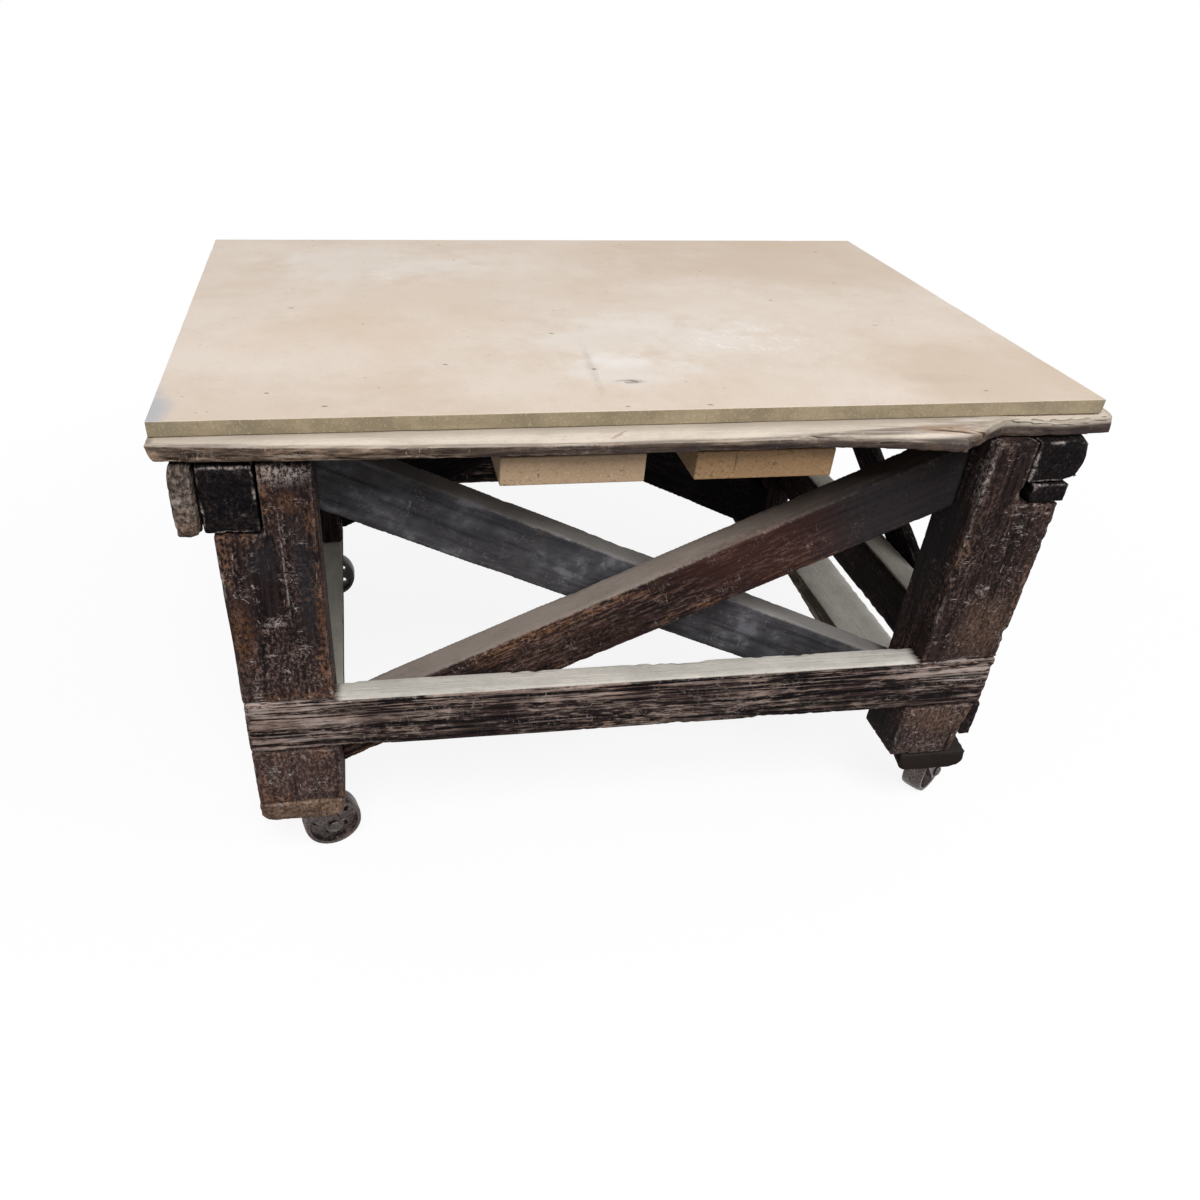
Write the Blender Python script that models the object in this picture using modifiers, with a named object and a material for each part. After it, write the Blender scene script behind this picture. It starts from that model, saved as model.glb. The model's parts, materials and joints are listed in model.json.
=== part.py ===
"""Old timber factory cart: a planked deck on four braced posts that stand on swivel casters.

Metres, +Z up. X runs along the cart's length, Y from its front to its back, and the floor is z = 0.
"""
import math

import bmesh
import bpy
from mathutils import Matrix, Vector

# Gap between pieces that touch, and how far a cutter runs past the face that it opens
FIT = 0.0003
PAST = 0.02

# Worn edges: old frame timber, sawn boards, sheet
ARRIS_OLD = 0.005
ARRIS_BOARD = 0.002
ARRIS_SHEET = 0.0008

# Loose sheet on the deck, a little left of the frame's centre
SHEET_LENGTH = 1.219
SHEET_DEPTH = 0.835
SHEET_THICK = 0.019
SHEET_SHIFT = -0.0155

# Deck boards
DECK_LENGTH = 1.242
DECK_DEPTH = 0.940
DECK_THICK = 0.026
DECK_SHIFT = -0.0065
DECK_GAP = 0.0015
DECK_COUNT = 5

# Front deck board: worn and broken front edge, hollowed below, with a cracked flap that hangs at its tip
WORN_END = 0.031
WORN_RUN = 0.55
WORN_STEPS = 7
TIP_FROM_END = 0.233
BREAK_RUN = 0.072
BREAK_DEPTH = 0.045
SPUR_FROM_END = 0.080
SPUR_DEPTH = 0.036
FLAP_LENGTH = 0.281
FLAP_FOLD = 0.72
FLAP_SAG = 0.0145
FLAP_BEND = 2.2
FLAP_BOW = 0.0015
FLAP_STEPS = 5
UNDERCUT_DEPTH = 0.045
UNDERCUT_LIP = 0.0145

# Battens under the deck
BATTEN_WIDTH = 0.184
BATTEN_THICK = 0.038
BATTEN_SPACING = 0.249

# Frame and posts
FRAME_LENGTH = 1.137
FRAME_DEPTH = 0.886
POST_WIDTH = 0.128
POST_DEPTH = 0.101
POST_LENGTH = 0.549
FOOT_WEAR_WIDTH = 0.020
FOOT_WEAR_HEIGHT = 0.150

# Top side rails, their packing and the outer side board
RAIL_HEIGHT = 0.0915
RAIL_LEFT_WIDTH = 0.0705
RAIL_LEFT_PROUD = 0.010
RAIL_RIGHT_WIDTH = 0.080
RAIL_RIGHT_PROUD = 0.016
RAIL_BREAK_HEIGHT = 0.030
RAIL_BREAK_LENGTH = 0.095
PACKING_WIDTH = 0.054
SIDE_BOARD_THICK = 0.030
SIDE_BOARD_HEIGHT = 0.095
SIDE_BOARD_PROUD = 0.012
SIDE_BOARD_ROUND = 0.022

# Stretchers and bottom side rails, lapped into the posts
STRETCHER_THICK = 0.047
STRETCHER_HEIGHT = 0.091
STRETCHER_LIFT = 0.1016
LOW_RAIL_THICK = 0.052
LOW_RAIL_HEIGHT = 0.092
LOW_RAIL_LIFT = 0.098

# Cross braces of the front and back, and the diagonal board outside the right side
BRACE_WIDTH = 0.089
BRACE_FOOT = 0.083
BRACE_DROP = 0.068
BRACE_HEADROOM = 0.003
LAPPED_BRACE_THICK = 0.053
LAPPED_BRACE_LAP = 0.040
SIDE_BRACE_WIDTH = 0.060
SIDE_BRACE_THICK = 0.022
SIDE_BRACE_FOOT = 0.050
SIDE_BRACE_RISE = 0.370
SIDE_BRACE_INSET = 0.022

# Sole planks under the posts
RUNNER_THICK = 0.035
RUNNER_ROUND = 0.020
RUNNER_RIGHT_WIDTH = 0.071
RUNNER_RIGHT_PROUD = 0.012
RUNNER_FLARE = 0.025
RUNNER_TOE = 0.048
RUNNER_CROOK_RUN = 0.24

# Swivel casters
CASTER_HEIGHT = 0.110
CASTER_INSET = 0.058
CASTER_TRAIL = 0.036
HEADING_FRONT_LEFT = 15
HEADING_FRONT_RIGHT = 35
PLATE_WIDTH = 0.074
PLATE_LENGTH = 0.092
PLATE_THICK = 0.006
PLATE_ROUND = 0.010
PLATE_HOLE_RADIUS = 0.0042
PLATE_HOLE_INSET = 0.011
RACE_THICK = 0.004
RACE_OUTER = 0.031
RACE_INNER = 0.013
CROWN_THICK = 0.005
CROWN_MARGIN = 0.010
CHEEK_THICK = 0.004
CHEEK_FRONT = 0.021
CHEEK_REAR = 0.026
CHEEK_EYE = 0.0145
SIDE_PLAY = 0.0015
TREAD_ROOM = 0.0025
KINGPIN_RADIUS = 0.007
KINGPIN_HEAD_RADIUS = 0.011
KINGPIN_HEAD = 0.004
RIVET_TAPER = 0.6
AXLE_RADIUS = 0.006
AXLE_HEAD_RADIUS = 0.010
AXLE_HEAD = 0.005
WHEEL_WIDTH = 0.034
WHEEL_RIM = 0.007
WHEEL_CROWN = 0.0015
TREAD_FLAT = 0.6
WHEEL_WEB = 0.010
WHEEL_HUB_RADIUS = 0.0125
WHEEL_HOLE_RADIUS = 0.0068
WHEEL_HOLE_COUNT = 5

# Facets of round pieces
ROUND_STEPS = 36
PIN_STEPS = 20
CORNER_STEPS = 4

# Levels, from the floor up
RUNNER_BOTTOM = CASTER_HEIGHT + FIT
RUNNER_TOP = RUNNER_BOTTOM + RUNNER_THICK
POST_FOOT = RUNNER_TOP + FIT
POST_TOP = POST_FOOT + POST_LENGTH
DECK_BOTTOM = POST_TOP + FIT
DECK_TOP = DECK_BOTTOM + DECK_THICK
SHEET_BOTTOM = DECK_TOP + FIT
RAIL_BOTTOM = POST_TOP - RAIL_HEIGHT
STRETCHER_BOTTOM = POST_FOOT + STRETCHER_LIFT
LOW_RAIL_BOTTOM = POST_FOOT + LOW_RAIL_LIFT
PLATE_BOTTOM = CASTER_HEIGHT - PLATE_THICK
CROWN_TOP = PLATE_BOTTOM - RACE_THICK
CROWN_BOTTOM = CROWN_TOP - CROWN_THICK
WHEEL_RADIUS = (CROWN_BOTTOM - TREAD_ROOM) / 2

# Lines of the frame, from its centre out
HALF_LENGTH = FRAME_LENGTH / 2
HALF_DEPTH = FRAME_DEPTH / 2
POST_INNER = HALF_LENGTH - POST_WIDTH
POST_BACK = HALF_DEPTH - POST_DEPTH
STRETCHER_BACK = HALF_DEPTH - STRETCHER_THICK


def clear_scene():
    """Remove every object of the scene."""
    for existing in list(bpy.data.objects):
        bpy.data.objects.remove(existing, do_unlink=True)


def new_collection(name, hidden=False):
    """Make a collection under the scene's own."""
    collection = bpy.data.collections.new(name)
    collection.hide_render = hidden
    bpy.context.scene.collection.children.link(collection)
    return collection


def new_material(name, colour, roughness, metallic=0.0):
    """Make a Principled material of one colour."""
    material = bpy.data.materials.new(name)
    material.use_nodes = True
    shader = material.node_tree.nodes["Principled BSDF"]
    shader.inputs["Base Color"].default_value = (*colour, 1.0)
    shader.inputs["Roughness"].default_value = roughness
    shader.inputs["Metallic"].default_value = metallic
    return material


clear_scene()
PARTS = new_collection("factory_cart")
CUTTERS = new_collection("cutters", hidden=True)
FIBREBOARD = new_material("fibreboard", (0.68, 0.56, 0.44), 0.70)
DECK_WOOD = new_material("deck_wood", (0.30, 0.22, 0.15), 0.80)
PINE = new_material("pine", (0.58, 0.38, 0.20), 0.60)
OLD_WOOD = new_material("old_wood", (0.030, 0.019, 0.015), 0.75)
GREY_WOOD = new_material("grey_wood", (0.16, 0.13, 0.11), 0.85)
SOLE_WOOD = new_material("sole_wood", (0.34, 0.25, 0.16), 0.80)
IRON = new_material("iron", (0.06, 0.05, 0.045), 0.55, 0.8)
STEEL = new_material("steel", (0.20, 0.18, 0.16), 0.45, 1.0)


def write_mesh(name, bm):
    """Turn a bmesh into a mesh with outward faces and free it."""
    bmesh.ops.recalc_face_normals(bm, faces=bm.faces)
    mesh = bpy.data.meshes.new(name)
    bm.to_mesh(mesh)
    bm.free()
    return mesh


def add_part(name, mesh, material, location=(0, 0, 0), rotation=(0, 0, 0), parent=None):
    """Place a mesh as a named part of the cart."""
    part = bpy.data.objects.new(name, mesh)
    mesh.materials.append(material)
    part.location = location
    part.rotation_euler = rotation
    part.parent = parent
    PARTS.objects.link(part)
    return part


def add_cutter(name, mesh, location=(0, 0, 0), rotation=(0, 0, 0), parent=None):
    """Place a mesh as a hidden tool of Boolean modifiers."""
    cutter = bpy.data.objects.new(name, mesh)
    cutter.location = location
    cutter.rotation_euler = rotation
    cutter.parent = parent
    cutter.hide_render = True
    cutter.display_type = "WIRE"
    CUTTERS.objects.link(cutter)
    return cutter


def combine(part, tool, operation="DIFFERENCE"):
    """Cut a part with a tool, or join the tool to it."""
    modifier = part.modifiers.new(tool.name, "BOOLEAN")
    modifier.operation = operation
    modifier.solver = "EXACT"
    modifier.object = tool


def soften(part, width):
    """Round a part's sharp edges."""
    modifier = part.modifiers.new("arris", "BEVEL")
    modifier.width = width
    modifier.segments = 2
    modifier.limit_method = "ANGLE"
    modifier.angle_limit = math.radians(40)


def smooth(mesh):
    """Shade a round piece smooth, with its true edges kept sharp."""
    mesh.shade_smooth()
    mesh.set_sharp_from_angle(angle=math.radians(35))


def box_bmesh(size):
    """Make a box of a size, centred on its origin."""
    bm = bmesh.new()
    bmesh.ops.create_cube(bm, size=1.0)
    bmesh.ops.scale(bm, vec=Vector(size), verts=bm.verts)
    return bm


def middle(low, high):
    """Return the centre between two corners."""
    return (Vector(low) + Vector(high)) / 2


def trim(bm, point, normal):
    """Cut off what lies beyond a plane and close the cut."""
    geometry = bm.verts[:] + bm.edges[:] + bm.faces[:]
    bmesh.ops.bisect_plane(bm, geom=geometry, dist=1e-6, plane_co=point, plane_no=normal, clear_outer=True)
    bmesh.ops.holes_fill(bm, edges=[edge for edge in bm.edges if edge.is_boundary])


def timber(name, low, high, material, arris, cuts=()):
    """Make a squared timber between two corners, trimmed by planes given from its centre."""
    bm = box_bmesh(Vector(high) - Vector(low))
    for point, normal in cuts:
        trim(bm, point, normal)
    part = add_part(name, write_mesh(name, bm), material, middle(low, high))
    soften(part, arris)
    return part


def box_cutter(name, low, high):
    """Make a box-shaped cutter between two corners."""
    size = Vector(high) - Vector(low)
    return add_cutter(name, write_mesh(name, box_bmesh(size)), middle(low, high))


def outline_mesh(name, points, thickness):
    """Fill a closed outline and give it a thickness."""
    curve = bpy.data.curves.new(name, "CURVE")
    curve.dimensions = "2D"
    curve.fill_mode = "BOTH"
    curve.extrude = thickness / 2
    spline = curve.splines.new("POLY")
    spline.points.add(len(points) - 1)
    for spline_point, (u, v) in zip(spline.points, points):
        spline_point.co = (u, v, 0, 1)
    spline.use_cyclic_u = True
    shape = bpy.data.objects.new(name, curve)
    CUTTERS.objects.link(shape)
    evaluated = shape.evaluated_get(bpy.context.evaluated_depsgraph_get())
    mesh = bpy.data.meshes.new_from_object(evaluated)
    bpy.data.objects.remove(shape, do_unlink=True)
    bm = bmesh.new()
    bm.from_mesh(mesh)
    bmesh.ops.remove_doubles(bm, verts=bm.verts, dist=1e-6)
    return write_mesh(name, bm)


def arc(centre, radius, start, end, steps):
    """Return points of an arc, its angles in degrees."""
    angles = [math.radians(start + (end - start) * step / steps) for step in range(steps + 1)]
    return [(centre[0] + radius * math.cos(angle), centre[1] + radius * math.sin(angle)) for angle in angles]


def rounded_rectangle(width, height, low_radius, top_radius):
    """Return the outline of a rectangle with one radius below and one above."""
    points = []
    corners = ((-1, -1, 180, low_radius), (1, -1, 270, low_radius),
               (1, 1, 0, top_radius), (-1, 1, 90, top_radius))
    for side, level, start, radius in corners:
        centre = (side * (width / 2 - radius), level * (height / 2 - radius))
        points += arc(centre, radius, start, start + 90, CORNER_STEPS)
    return points


def turned(name, profile, steps, material, location=(0, 0, 0), rotation=(0, 0, 0), parent=None, closed=False):
    """Turn a profile of (radius, height) points about its own Z axis."""
    bm = bmesh.new()
    ring = [bm.verts.new((radius, 0, height)) for radius, height in profile]
    following = ring[1:] + ring[:1] if closed else ring[1:]
    for first, second in zip(ring, following):
        bm.edges.new((first, second))
    mesh = bpy.data.meshes.new(name)
    bm.to_mesh(mesh)
    bm.free()
    part = add_part(name, mesh, material, location, rotation, parent)
    screw = part.modifiers.new("turn", "SCREW")
    screw.axis = "Z"
    screw.steps = steps
    screw.render_steps = steps
    screw.use_merge_vertices = True
    screw.merge_threshold = 0.00001
    screw.use_smooth_shade = True
    return part


def cylinder_cutter(name, radius, length, steps, location, rotation=(0, 0, 0), parent=None):
    """Make a round cutter along its own Z axis."""
    bm = bmesh.new()
    bmesh.ops.create_cone(bm, cap_ends=True, segments=steps, radius1=radius, radius2=radius, depth=length)
    return add_cutter(name, write_mesh(name, bm), location, rotation, parent)


def build_top():
    """Make the loose sheet, the deck boards and the battens under them."""
    half_sheet = SHEET_LENGTH / 2
    timber("top_sheet", (SHEET_SHIFT - half_sheet, -SHEET_DEPTH / 2, SHEET_BOTTOM),
           (SHEET_SHIFT + half_sheet, SHEET_DEPTH / 2, SHEET_BOTTOM + SHEET_THICK), FIBREBOARD, ARRIS_SHEET)
    board_depth = (DECK_DEPTH - DECK_GAP * (DECK_COUNT - 1)) / DECK_COUNT
    build_front_board(board_depth)
    for number in range(2, DECK_COUNT + 1):
        front = -DECK_DEPTH / 2 + (number - 1) * (board_depth + DECK_GAP)
        timber(f"deck_board_{number}", (DECK_SHIFT - DECK_LENGTH / 2, front, DECK_BOTTOM),
               (DECK_SHIFT + DECK_LENGTH / 2, front + board_depth, DECK_TOP), DECK_WOOD, ARRIS_BOARD)
    for side, word in ((-1, "left"), (1, "right")):
        centre = side * BATTEN_SPACING / 2
        timber(f"batten_{word}", (centre - BATTEN_WIDTH / 2, -HALF_DEPTH, POST_TOP - BATTEN_THICK),
               (centre + BATTEN_WIDTH / 2, HALF_DEPTH, POST_TOP), PINE, ARRIS_BOARD)


def build_front_board(depth):
    """Make the front deck board with its worn end, its hanging flap and its broken corner."""
    left, right = -DECK_LENGTH / 2, DECK_LENGTH / 2
    front, back = -depth / 2, depth / 2
    tip = Vector((right - TIP_FROM_END, front))
    root = tip - Vector((FLAP_LENGTH, 0))
    broken = tip + Vector((BREAK_RUN, BREAK_DEPTH))
    fold = tip.lerp(broken, FLAP_FOLD)
    outline = [(left, back)]
    for step in range(WORN_STEPS + 1):
        share = step / WORN_STEPS
        outline.append((left + WORN_RUN * share, front + WORN_END * (1 - share) ** 2))
    for step in range(FLAP_STEPS + 1):
        share = step / FLAP_STEPS
        outline.append((root.x + FLAP_LENGTH * share, front + FLAP_BOW * share * (1 - share)))
    outline += [fold, broken, (right - SPUR_FROM_END, front + SPUR_DEPTH)]
    outline += [(right, front + BREAK_DEPTH), (right, back)]
    bm = bmesh.new()
    bm.from_mesh(outline_mesh("deck_board_1", outline, DECK_THICK))
    trim(bm, (0, front + UNDERCUT_DEPTH, -DECK_THICK / 2), (0, UNDERCUT_LIP - DECK_THICK, -UNDERCUT_DEPTH))
    hang_flap(bm, root, tip, fold)
    add_part("deck_board_1", write_mesh("deck_board_1", bm), DECK_WOOD,
             (DECK_SHIFT, -DECK_DEPTH / 2 + depth / 2, (DECK_BOTTOM + DECK_TOP) / 2))


def hang_flap(bm, root, tip, fold):
    """Bend a board's corner down about the line from its root to its fold, most of all at its tip."""
    line = fold - root
    outward = Vector((line.y, -line.x)).normalized()
    geometry = bm.verts[:] + bm.edges[:] + bm.faces[:]
    bmesh.ops.bisect_plane(bm, geom=geometry, dist=1e-6, plane_co=root.to_3d(), plane_no=outward.to_3d())
    bmesh.ops.triangulate(bm, faces=bm.faces)
    reach = (tip - root).dot(outward)
    for vert in bm.verts:
        share = (vert.co.xy - root).dot(outward) / reach
        if share > 0 and vert.co.x < fold.x:
            vert.co.z -= FLAP_SAG * share ** FLAP_BEND


def build_posts():
    """Make the four posts, notched for the rails and stretchers that are let into them."""
    rail_cutters = {-1: rail_notch(-1, RAIL_LEFT_WIDTH, RAIL_LEFT_PROUD),
                    1: rail_notch(1, RAIL_RIGHT_WIDTH, RAIL_RIGHT_PROUD)}
    lap_cutters = {front: lap_notch(front) for front in (-1, 1)}
    low_cutters = {side: low_rail_notch(side) for side in (-1, 1)}
    for side, side_word in ((-1, "left"), (1, "right")):
        for end, end_word in ((-1, "front"), (1, "back")):
            across = sorted((side * HALF_LENGTH, side * POST_INNER))
            along = sorted((end * HALF_DEPTH, end * POST_BACK))
            low = (across[0], along[0], POST_FOOT)
            high = (across[1], along[1], POST_TOP)
            worn_point = (side * (POST_WIDTH / 2 - FOOT_WEAR_WIDTH), 0, -POST_LENGTH / 2)
            worn_plane = (side * FOOT_WEAR_HEIGHT, 0, -FOOT_WEAR_WIDTH)
            worn = ((worn_point, worn_plane),) if side == 1 else ()
            post = timber(f"leg_{end_word}_{side_word}", low, high, OLD_WOOD, ARRIS_OLD, worn)
            combine(post, rail_cutters[side])
            combine(post, lap_cutters[end])
            combine(post, low_cutters[side])


def rail_notch(side, width, proud):
    """Make the cutter that lets a top side rail into its two posts."""
    inner = side * (HALF_LENGTH + proud - width - FIT)
    outer = side * (HALF_LENGTH + proud + PAST)
    return box_cutter(f"rail_notch_{side}", (min(inner, outer), -HALF_DEPTH - PAST, RAIL_BOTTOM - FIT),
                      (max(inner, outer), HALF_DEPTH + PAST, POST_TOP + PAST))


def lap_notch(end):
    """Make the cutter that laps a stretcher into the faces of its two posts."""
    inner = end * (STRETCHER_BACK - FIT)
    outer = end * (HALF_DEPTH + PAST)
    return box_cutter(f"lap_notch_{end}", (-HALF_LENGTH - PAST, min(inner, outer), STRETCHER_BOTTOM - FIT),
                      (HALF_LENGTH + PAST, max(inner, outer), STRETCHER_BOTTOM + STRETCHER_HEIGHT + FIT))


def low_rail_notch(side):
    """Make the cutter that laps a bottom side rail into the outer faces of its two posts."""
    inner = side * (HALF_LENGTH - LOW_RAIL_THICK - FIT)
    outer = side * (HALF_LENGTH + PAST)
    depth = STRETCHER_BACK
    return box_cutter(f"low_rail_notch_{side}", (min(inner, outer), -depth, LOW_RAIL_BOTTOM - FIT),
                      (max(inner, outer), depth, LOW_RAIL_BOTTOM + LOW_RAIL_HEIGHT + FIT))


def build_rails():
    """Make the top side rails, the packing under the broken one and the outer side board."""
    left_outer = -HALF_LENGTH - RAIL_LEFT_PROUD
    timber("top_rail_left", (left_outer, -HALF_DEPTH, RAIL_BOTTOM),
           (left_outer + RAIL_LEFT_WIDTH, HALF_DEPTH, POST_TOP), OLD_WOOD, ARRIS_OLD)
    right_outer = HALF_LENGTH + RAIL_RIGHT_PROUD
    right_inner = right_outer - RAIL_RIGHT_WIDTH
    rail = timber("top_rail_right", (right_inner, -HALF_DEPTH, RAIL_BOTTOM),
                  (right_outer, HALF_DEPTH, POST_TOP), OLD_WOOD, ARRIS_OLD)
    break_top = RAIL_BOTTOM + RAIL_BREAK_HEIGHT
    break_back = -HALF_DEPTH + RAIL_BREAK_LENGTH
    combine(rail, box_cutter("rail_break", (right_inner - PAST, -HALF_DEPTH - PAST, RAIL_BOTTOM - PAST),
                             (right_outer + PAST, break_back, break_top)))
    packing_inner = (right_inner + right_outer - PACKING_WIDTH) / 2
    timber("rail_packing_right", (packing_inner, -HALF_DEPTH, RAIL_BOTTOM),
           (packing_inner + PACKING_WIDTH, break_back - FIT, break_top - FIT), GREY_WOOD, ARRIS_BOARD)
    board_length = FRAME_DEPTH + SIDE_BOARD_PROUD
    outline = rounded_rectangle(board_length, SIDE_BOARD_HEIGHT, SIDE_BOARD_ROUND, SIDE_BOARD_ROUND)
    board_x = left_outer - FIT - SIDE_BOARD_THICK / 2
    board = add_part("side_board_left", outline_mesh("side_board_left", outline, SIDE_BOARD_THICK), GREY_WOOD,
                     (board_x, -SIDE_BOARD_PROUD / 2, POST_TOP - SIDE_BOARD_HEIGHT / 2),
                     (math.pi / 2, 0, math.pi / 2))
    soften(board, ARRIS_BOARD)


def build_stretchers():
    """Make the front and back stretchers and the bottom side rails between them."""
    for end, word in ((-1, "front"), (1, "back")):
        faces = sorted((end * HALF_DEPTH, end * STRETCHER_BACK))
        timber(f"stretcher_{word}", (-HALF_LENGTH, faces[0], STRETCHER_BOTTOM),
               (HALF_LENGTH, faces[1], STRETCHER_BOTTOM + STRETCHER_HEIGHT), OLD_WOOD, ARRIS_OLD)
    reach = STRETCHER_BACK - FIT
    for side, word in ((-1, "left"), (1, "right")):
        faces = sorted((side * HALF_LENGTH, side * (HALF_LENGTH - LOW_RAIL_THICK)))
        timber(f"side_rail_{word}", (faces[0], -reach, LOW_RAIL_BOTTOM),
               (faces[1], reach, LOW_RAIL_BOTTOM + LOW_RAIL_HEIGHT), OLD_WOOD, ARRIS_OLD)


def sloping_bar(name, start, end, width, thick, limits, material, along_y=False):
    """Make a flat bar through two points of a face, trimmed upright at its ends and level above and below.

    The face is XZ, or YZ with along_y. Limits are the ends, the lowest and the highest level of the bar.
    """
    run = end[0] - start[0]
    rise = end[1] - start[1]
    slope = math.atan2(rise, run)
    centre = ((start[0] + end[0]) / 2, (start[1] + end[1]) / 2)
    bm = box_bmesh((math.hypot(run, rise) * 2, thick, width))
    bmesh.ops.rotate(bm, verts=bm.verts, cent=(0, 0, 0), matrix=Matrix.Rotation(-slope, 3, "Y"))
    low_end, high_end, lowest, highest = limits
    trim(bm, (low_end - centre[0], 0, 0), (-1, 0, 0))
    trim(bm, (high_end - centre[0], 0, 0), (1, 0, 0))
    trim(bm, (0, 0, lowest - centre[1]), (0, 0, -1))
    trim(bm, (0, 0, highest - centre[1]), (0, 0, 1))
    part = add_part(name, write_mesh(name, bm), material)
    if along_y:
        part.rotation_euler = (0, 0, math.pi / 2)
        part.location = (0, centre[0], centre[1])
    else:
        part.location = (centre[0], 0, centre[1])
    soften(part, ARRIS_BOARD)
    return part


def build_braces():
    """Make the cross braces of the front and back and the diagonal board of the right side."""
    reach = POST_INNER - FIT
    lapped_reach = POST_INNER + LAPPED_BRACE_LAP
    foot = POST_FOOT + BRACE_FOOT
    head = POST_TOP - BRACE_DROP
    levels = (POST_FOOT, POST_TOP - BRACE_HEADROOM)
    let_in_thick = STRETCHER_BACK - FIT - POST_BACK
    for end, word in ((-1, "front"), (1, "back")):
        rising = sloping_bar(f"brace_{word}_rising", (-reach, foot), (reach, head), BRACE_WIDTH, let_in_thick,
                             (-reach, reach, *levels), OLD_WOOD)
        rising.location.y = end * (POST_BACK + let_in_thick / 2)
        falling = sloping_bar(f"brace_{word}_falling", (-reach, head), (reach, foot), BRACE_WIDTH,
                              LAPPED_BRACE_THICK, (-lapped_reach, lapped_reach, *levels), OLD_WOOD)
        falling.location.y = end * (POST_BACK - FIT - LAPPED_BRACE_THICK / 2)
    side_reach = HALF_DEPTH - SIDE_BRACE_INSET
    side_foot = POST_FOOT + SIDE_BRACE_FOOT
    side_head = side_foot + SIDE_BRACE_RISE
    board = sloping_bar("side_brace_right", (-side_reach, side_foot), (side_reach, side_head),
                        SIDE_BRACE_WIDTH, SIDE_BRACE_THICK,
                        (-side_reach, side_reach, POST_FOOT, RAIL_BOTTOM - FIT), GREY_WOOD, along_y=True)
    board.location.x = HALF_LENGTH + FIT + SIDE_BRACE_THICK / 2


def prism(points, thickness):
    """Give a plan, listed counter-clockwise, a thickness about its own level."""
    bm = bmesh.new()
    low = [bm.verts.new((x, y, -thickness / 2)) for x, y in points]
    high = [bm.verts.new((x, y, thickness / 2)) for x, y in points]
    bm.faces.new(low[::-1])
    bm.faces.new(high)
    for here, there in zip(range(-1, len(points) - 1), range(len(points))):
        bm.faces.new((low[here], low[there], high[there], high[here]))
    return bm


def build_runners():
    """Make the sole planks under the posts, worn round below, and return the casters' lines.

    The right plank's front end is crooked: it stands in at both corners.
    """
    outer = HALF_LENGTH + RUNNER_RIGHT_PROUD
    inner = outer - RUNNER_RIGHT_WIDTH
    front, back = -HALF_DEPTH, HALF_DEPTH
    bend = front + RUNNER_CROOK_RUN
    flared = outer + RUNNER_FLARE
    plans = {"left": [(-HALF_LENGTH, front), (-POST_INNER, front), (-POST_INNER, back),
                      (-HALF_LENGTH, back)],
             "right": [(inner - RUNNER_TOE, front), (outer, front), (flared, bend), (flared, back),
                       (inner, back), (inner, bend)]}
    for word, plan in plans.items():
        bm = prism(plan, RUNNER_THICK)
        below = [edge for edge in bm.edges if max(vert.co.z for vert in edge.verts) < 0]
        sides = [edge for edge in below if abs(edge.verts[0].co.y - edge.verts[1].co.y) > RUNNER_ROUND]
        bmesh.ops.bevel(bm, geom=sides, offset=RUNNER_ROUND, offset_type="OFFSET", affect="EDGES",
                        segments=CORNER_STEPS, profile=0.5, material=-1)
        runner = add_part(f"runner_{word}", write_mesh(f"runner_{word}", bm), SOLE_WOOD,
                          (0, 0, RUNNER_BOTTOM + RUNNER_THICK / 2))
        soften(runner, ARRIS_BOARD / 2)
    return {"left": -(HALF_LENGTH + POST_INNER) / 2, "right": (outer + inner) / 2}


def empty(name, location, parent=None, turn=0.0):
    """Make an empty that carries the pieces of a moving body, turned about Z."""
    carrier = bpy.data.objects.new(name, None)
    carrier.location = location
    carrier.rotation_euler = (0, 0, turn)
    carrier.parent = parent
    PARTS.objects.link(carrier)
    return carrier


def build_caster(name, x, y, heading):
    """Make a swivel caster under a point of a runner; its heading is the angle from +X to its wheel."""
    fixed = empty(f"{name}_seat", (x, y, 0))
    swivel = empty(f"{name}_swivel", (x, y, 0), turn=math.radians(heading))
    spin = empty(f"{name}_spin", (CASTER_TRAIL, 0, WHEEL_RADIUS), swivel)
    build_plate(name, fixed)
    race = [(RACE_INNER, PLATE_BOTTOM - FIT), (RACE_OUTER - RACE_THICK / 2, PLATE_BOTTOM - FIT),
            (RACE_OUTER, PLATE_BOTTOM - RACE_THICK / 2), (RACE_OUTER - RACE_THICK / 2, CROWN_TOP + FIT),
            (RACE_INNER, CROWN_TOP + FIT)]
    turned(f"{name}_race", race, PIN_STEPS, IRON, parent=fixed, closed=True)
    head_top = CROWN_BOTTOM - FIT
    head_bottom = head_top - KINGPIN_HEAD
    kingpin = [(0, CASTER_HEIGHT), (KINGPIN_RADIUS, CASTER_HEIGHT), (KINGPIN_RADIUS, head_top),
               (KINGPIN_HEAD_RADIUS, head_top), (KINGPIN_HEAD_RADIUS, head_top - KINGPIN_HEAD / 2),
               (KINGPIN_HEAD_RADIUS * RIVET_TAPER, head_bottom), (0, head_bottom)]
    turned(f"{name}_kingpin", kingpin, PIN_STEPS, STEEL, parent=fixed)
    cheek = WHEEL_WIDTH / 2 + SIDE_PLAY
    build_fork(name, swivel, cheek)
    grip = cheek + CHEEK_THICK + FIT
    axle = [(0, grip + AXLE_HEAD), (AXLE_HEAD_RADIUS * RIVET_TAPER, grip + AXLE_HEAD),
            (AXLE_HEAD_RADIUS, grip + AXLE_HEAD / 2), (AXLE_HEAD_RADIUS, grip), (AXLE_RADIUS, grip)]
    axle += [(radius, -height) for radius, height in reversed(axle)]
    turned(f"{name}_axle", axle, PIN_STEPS, STEEL, rotation=(math.pi / 2, 0, 0), parent=spin)
    build_wheel(name, spin)


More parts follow.
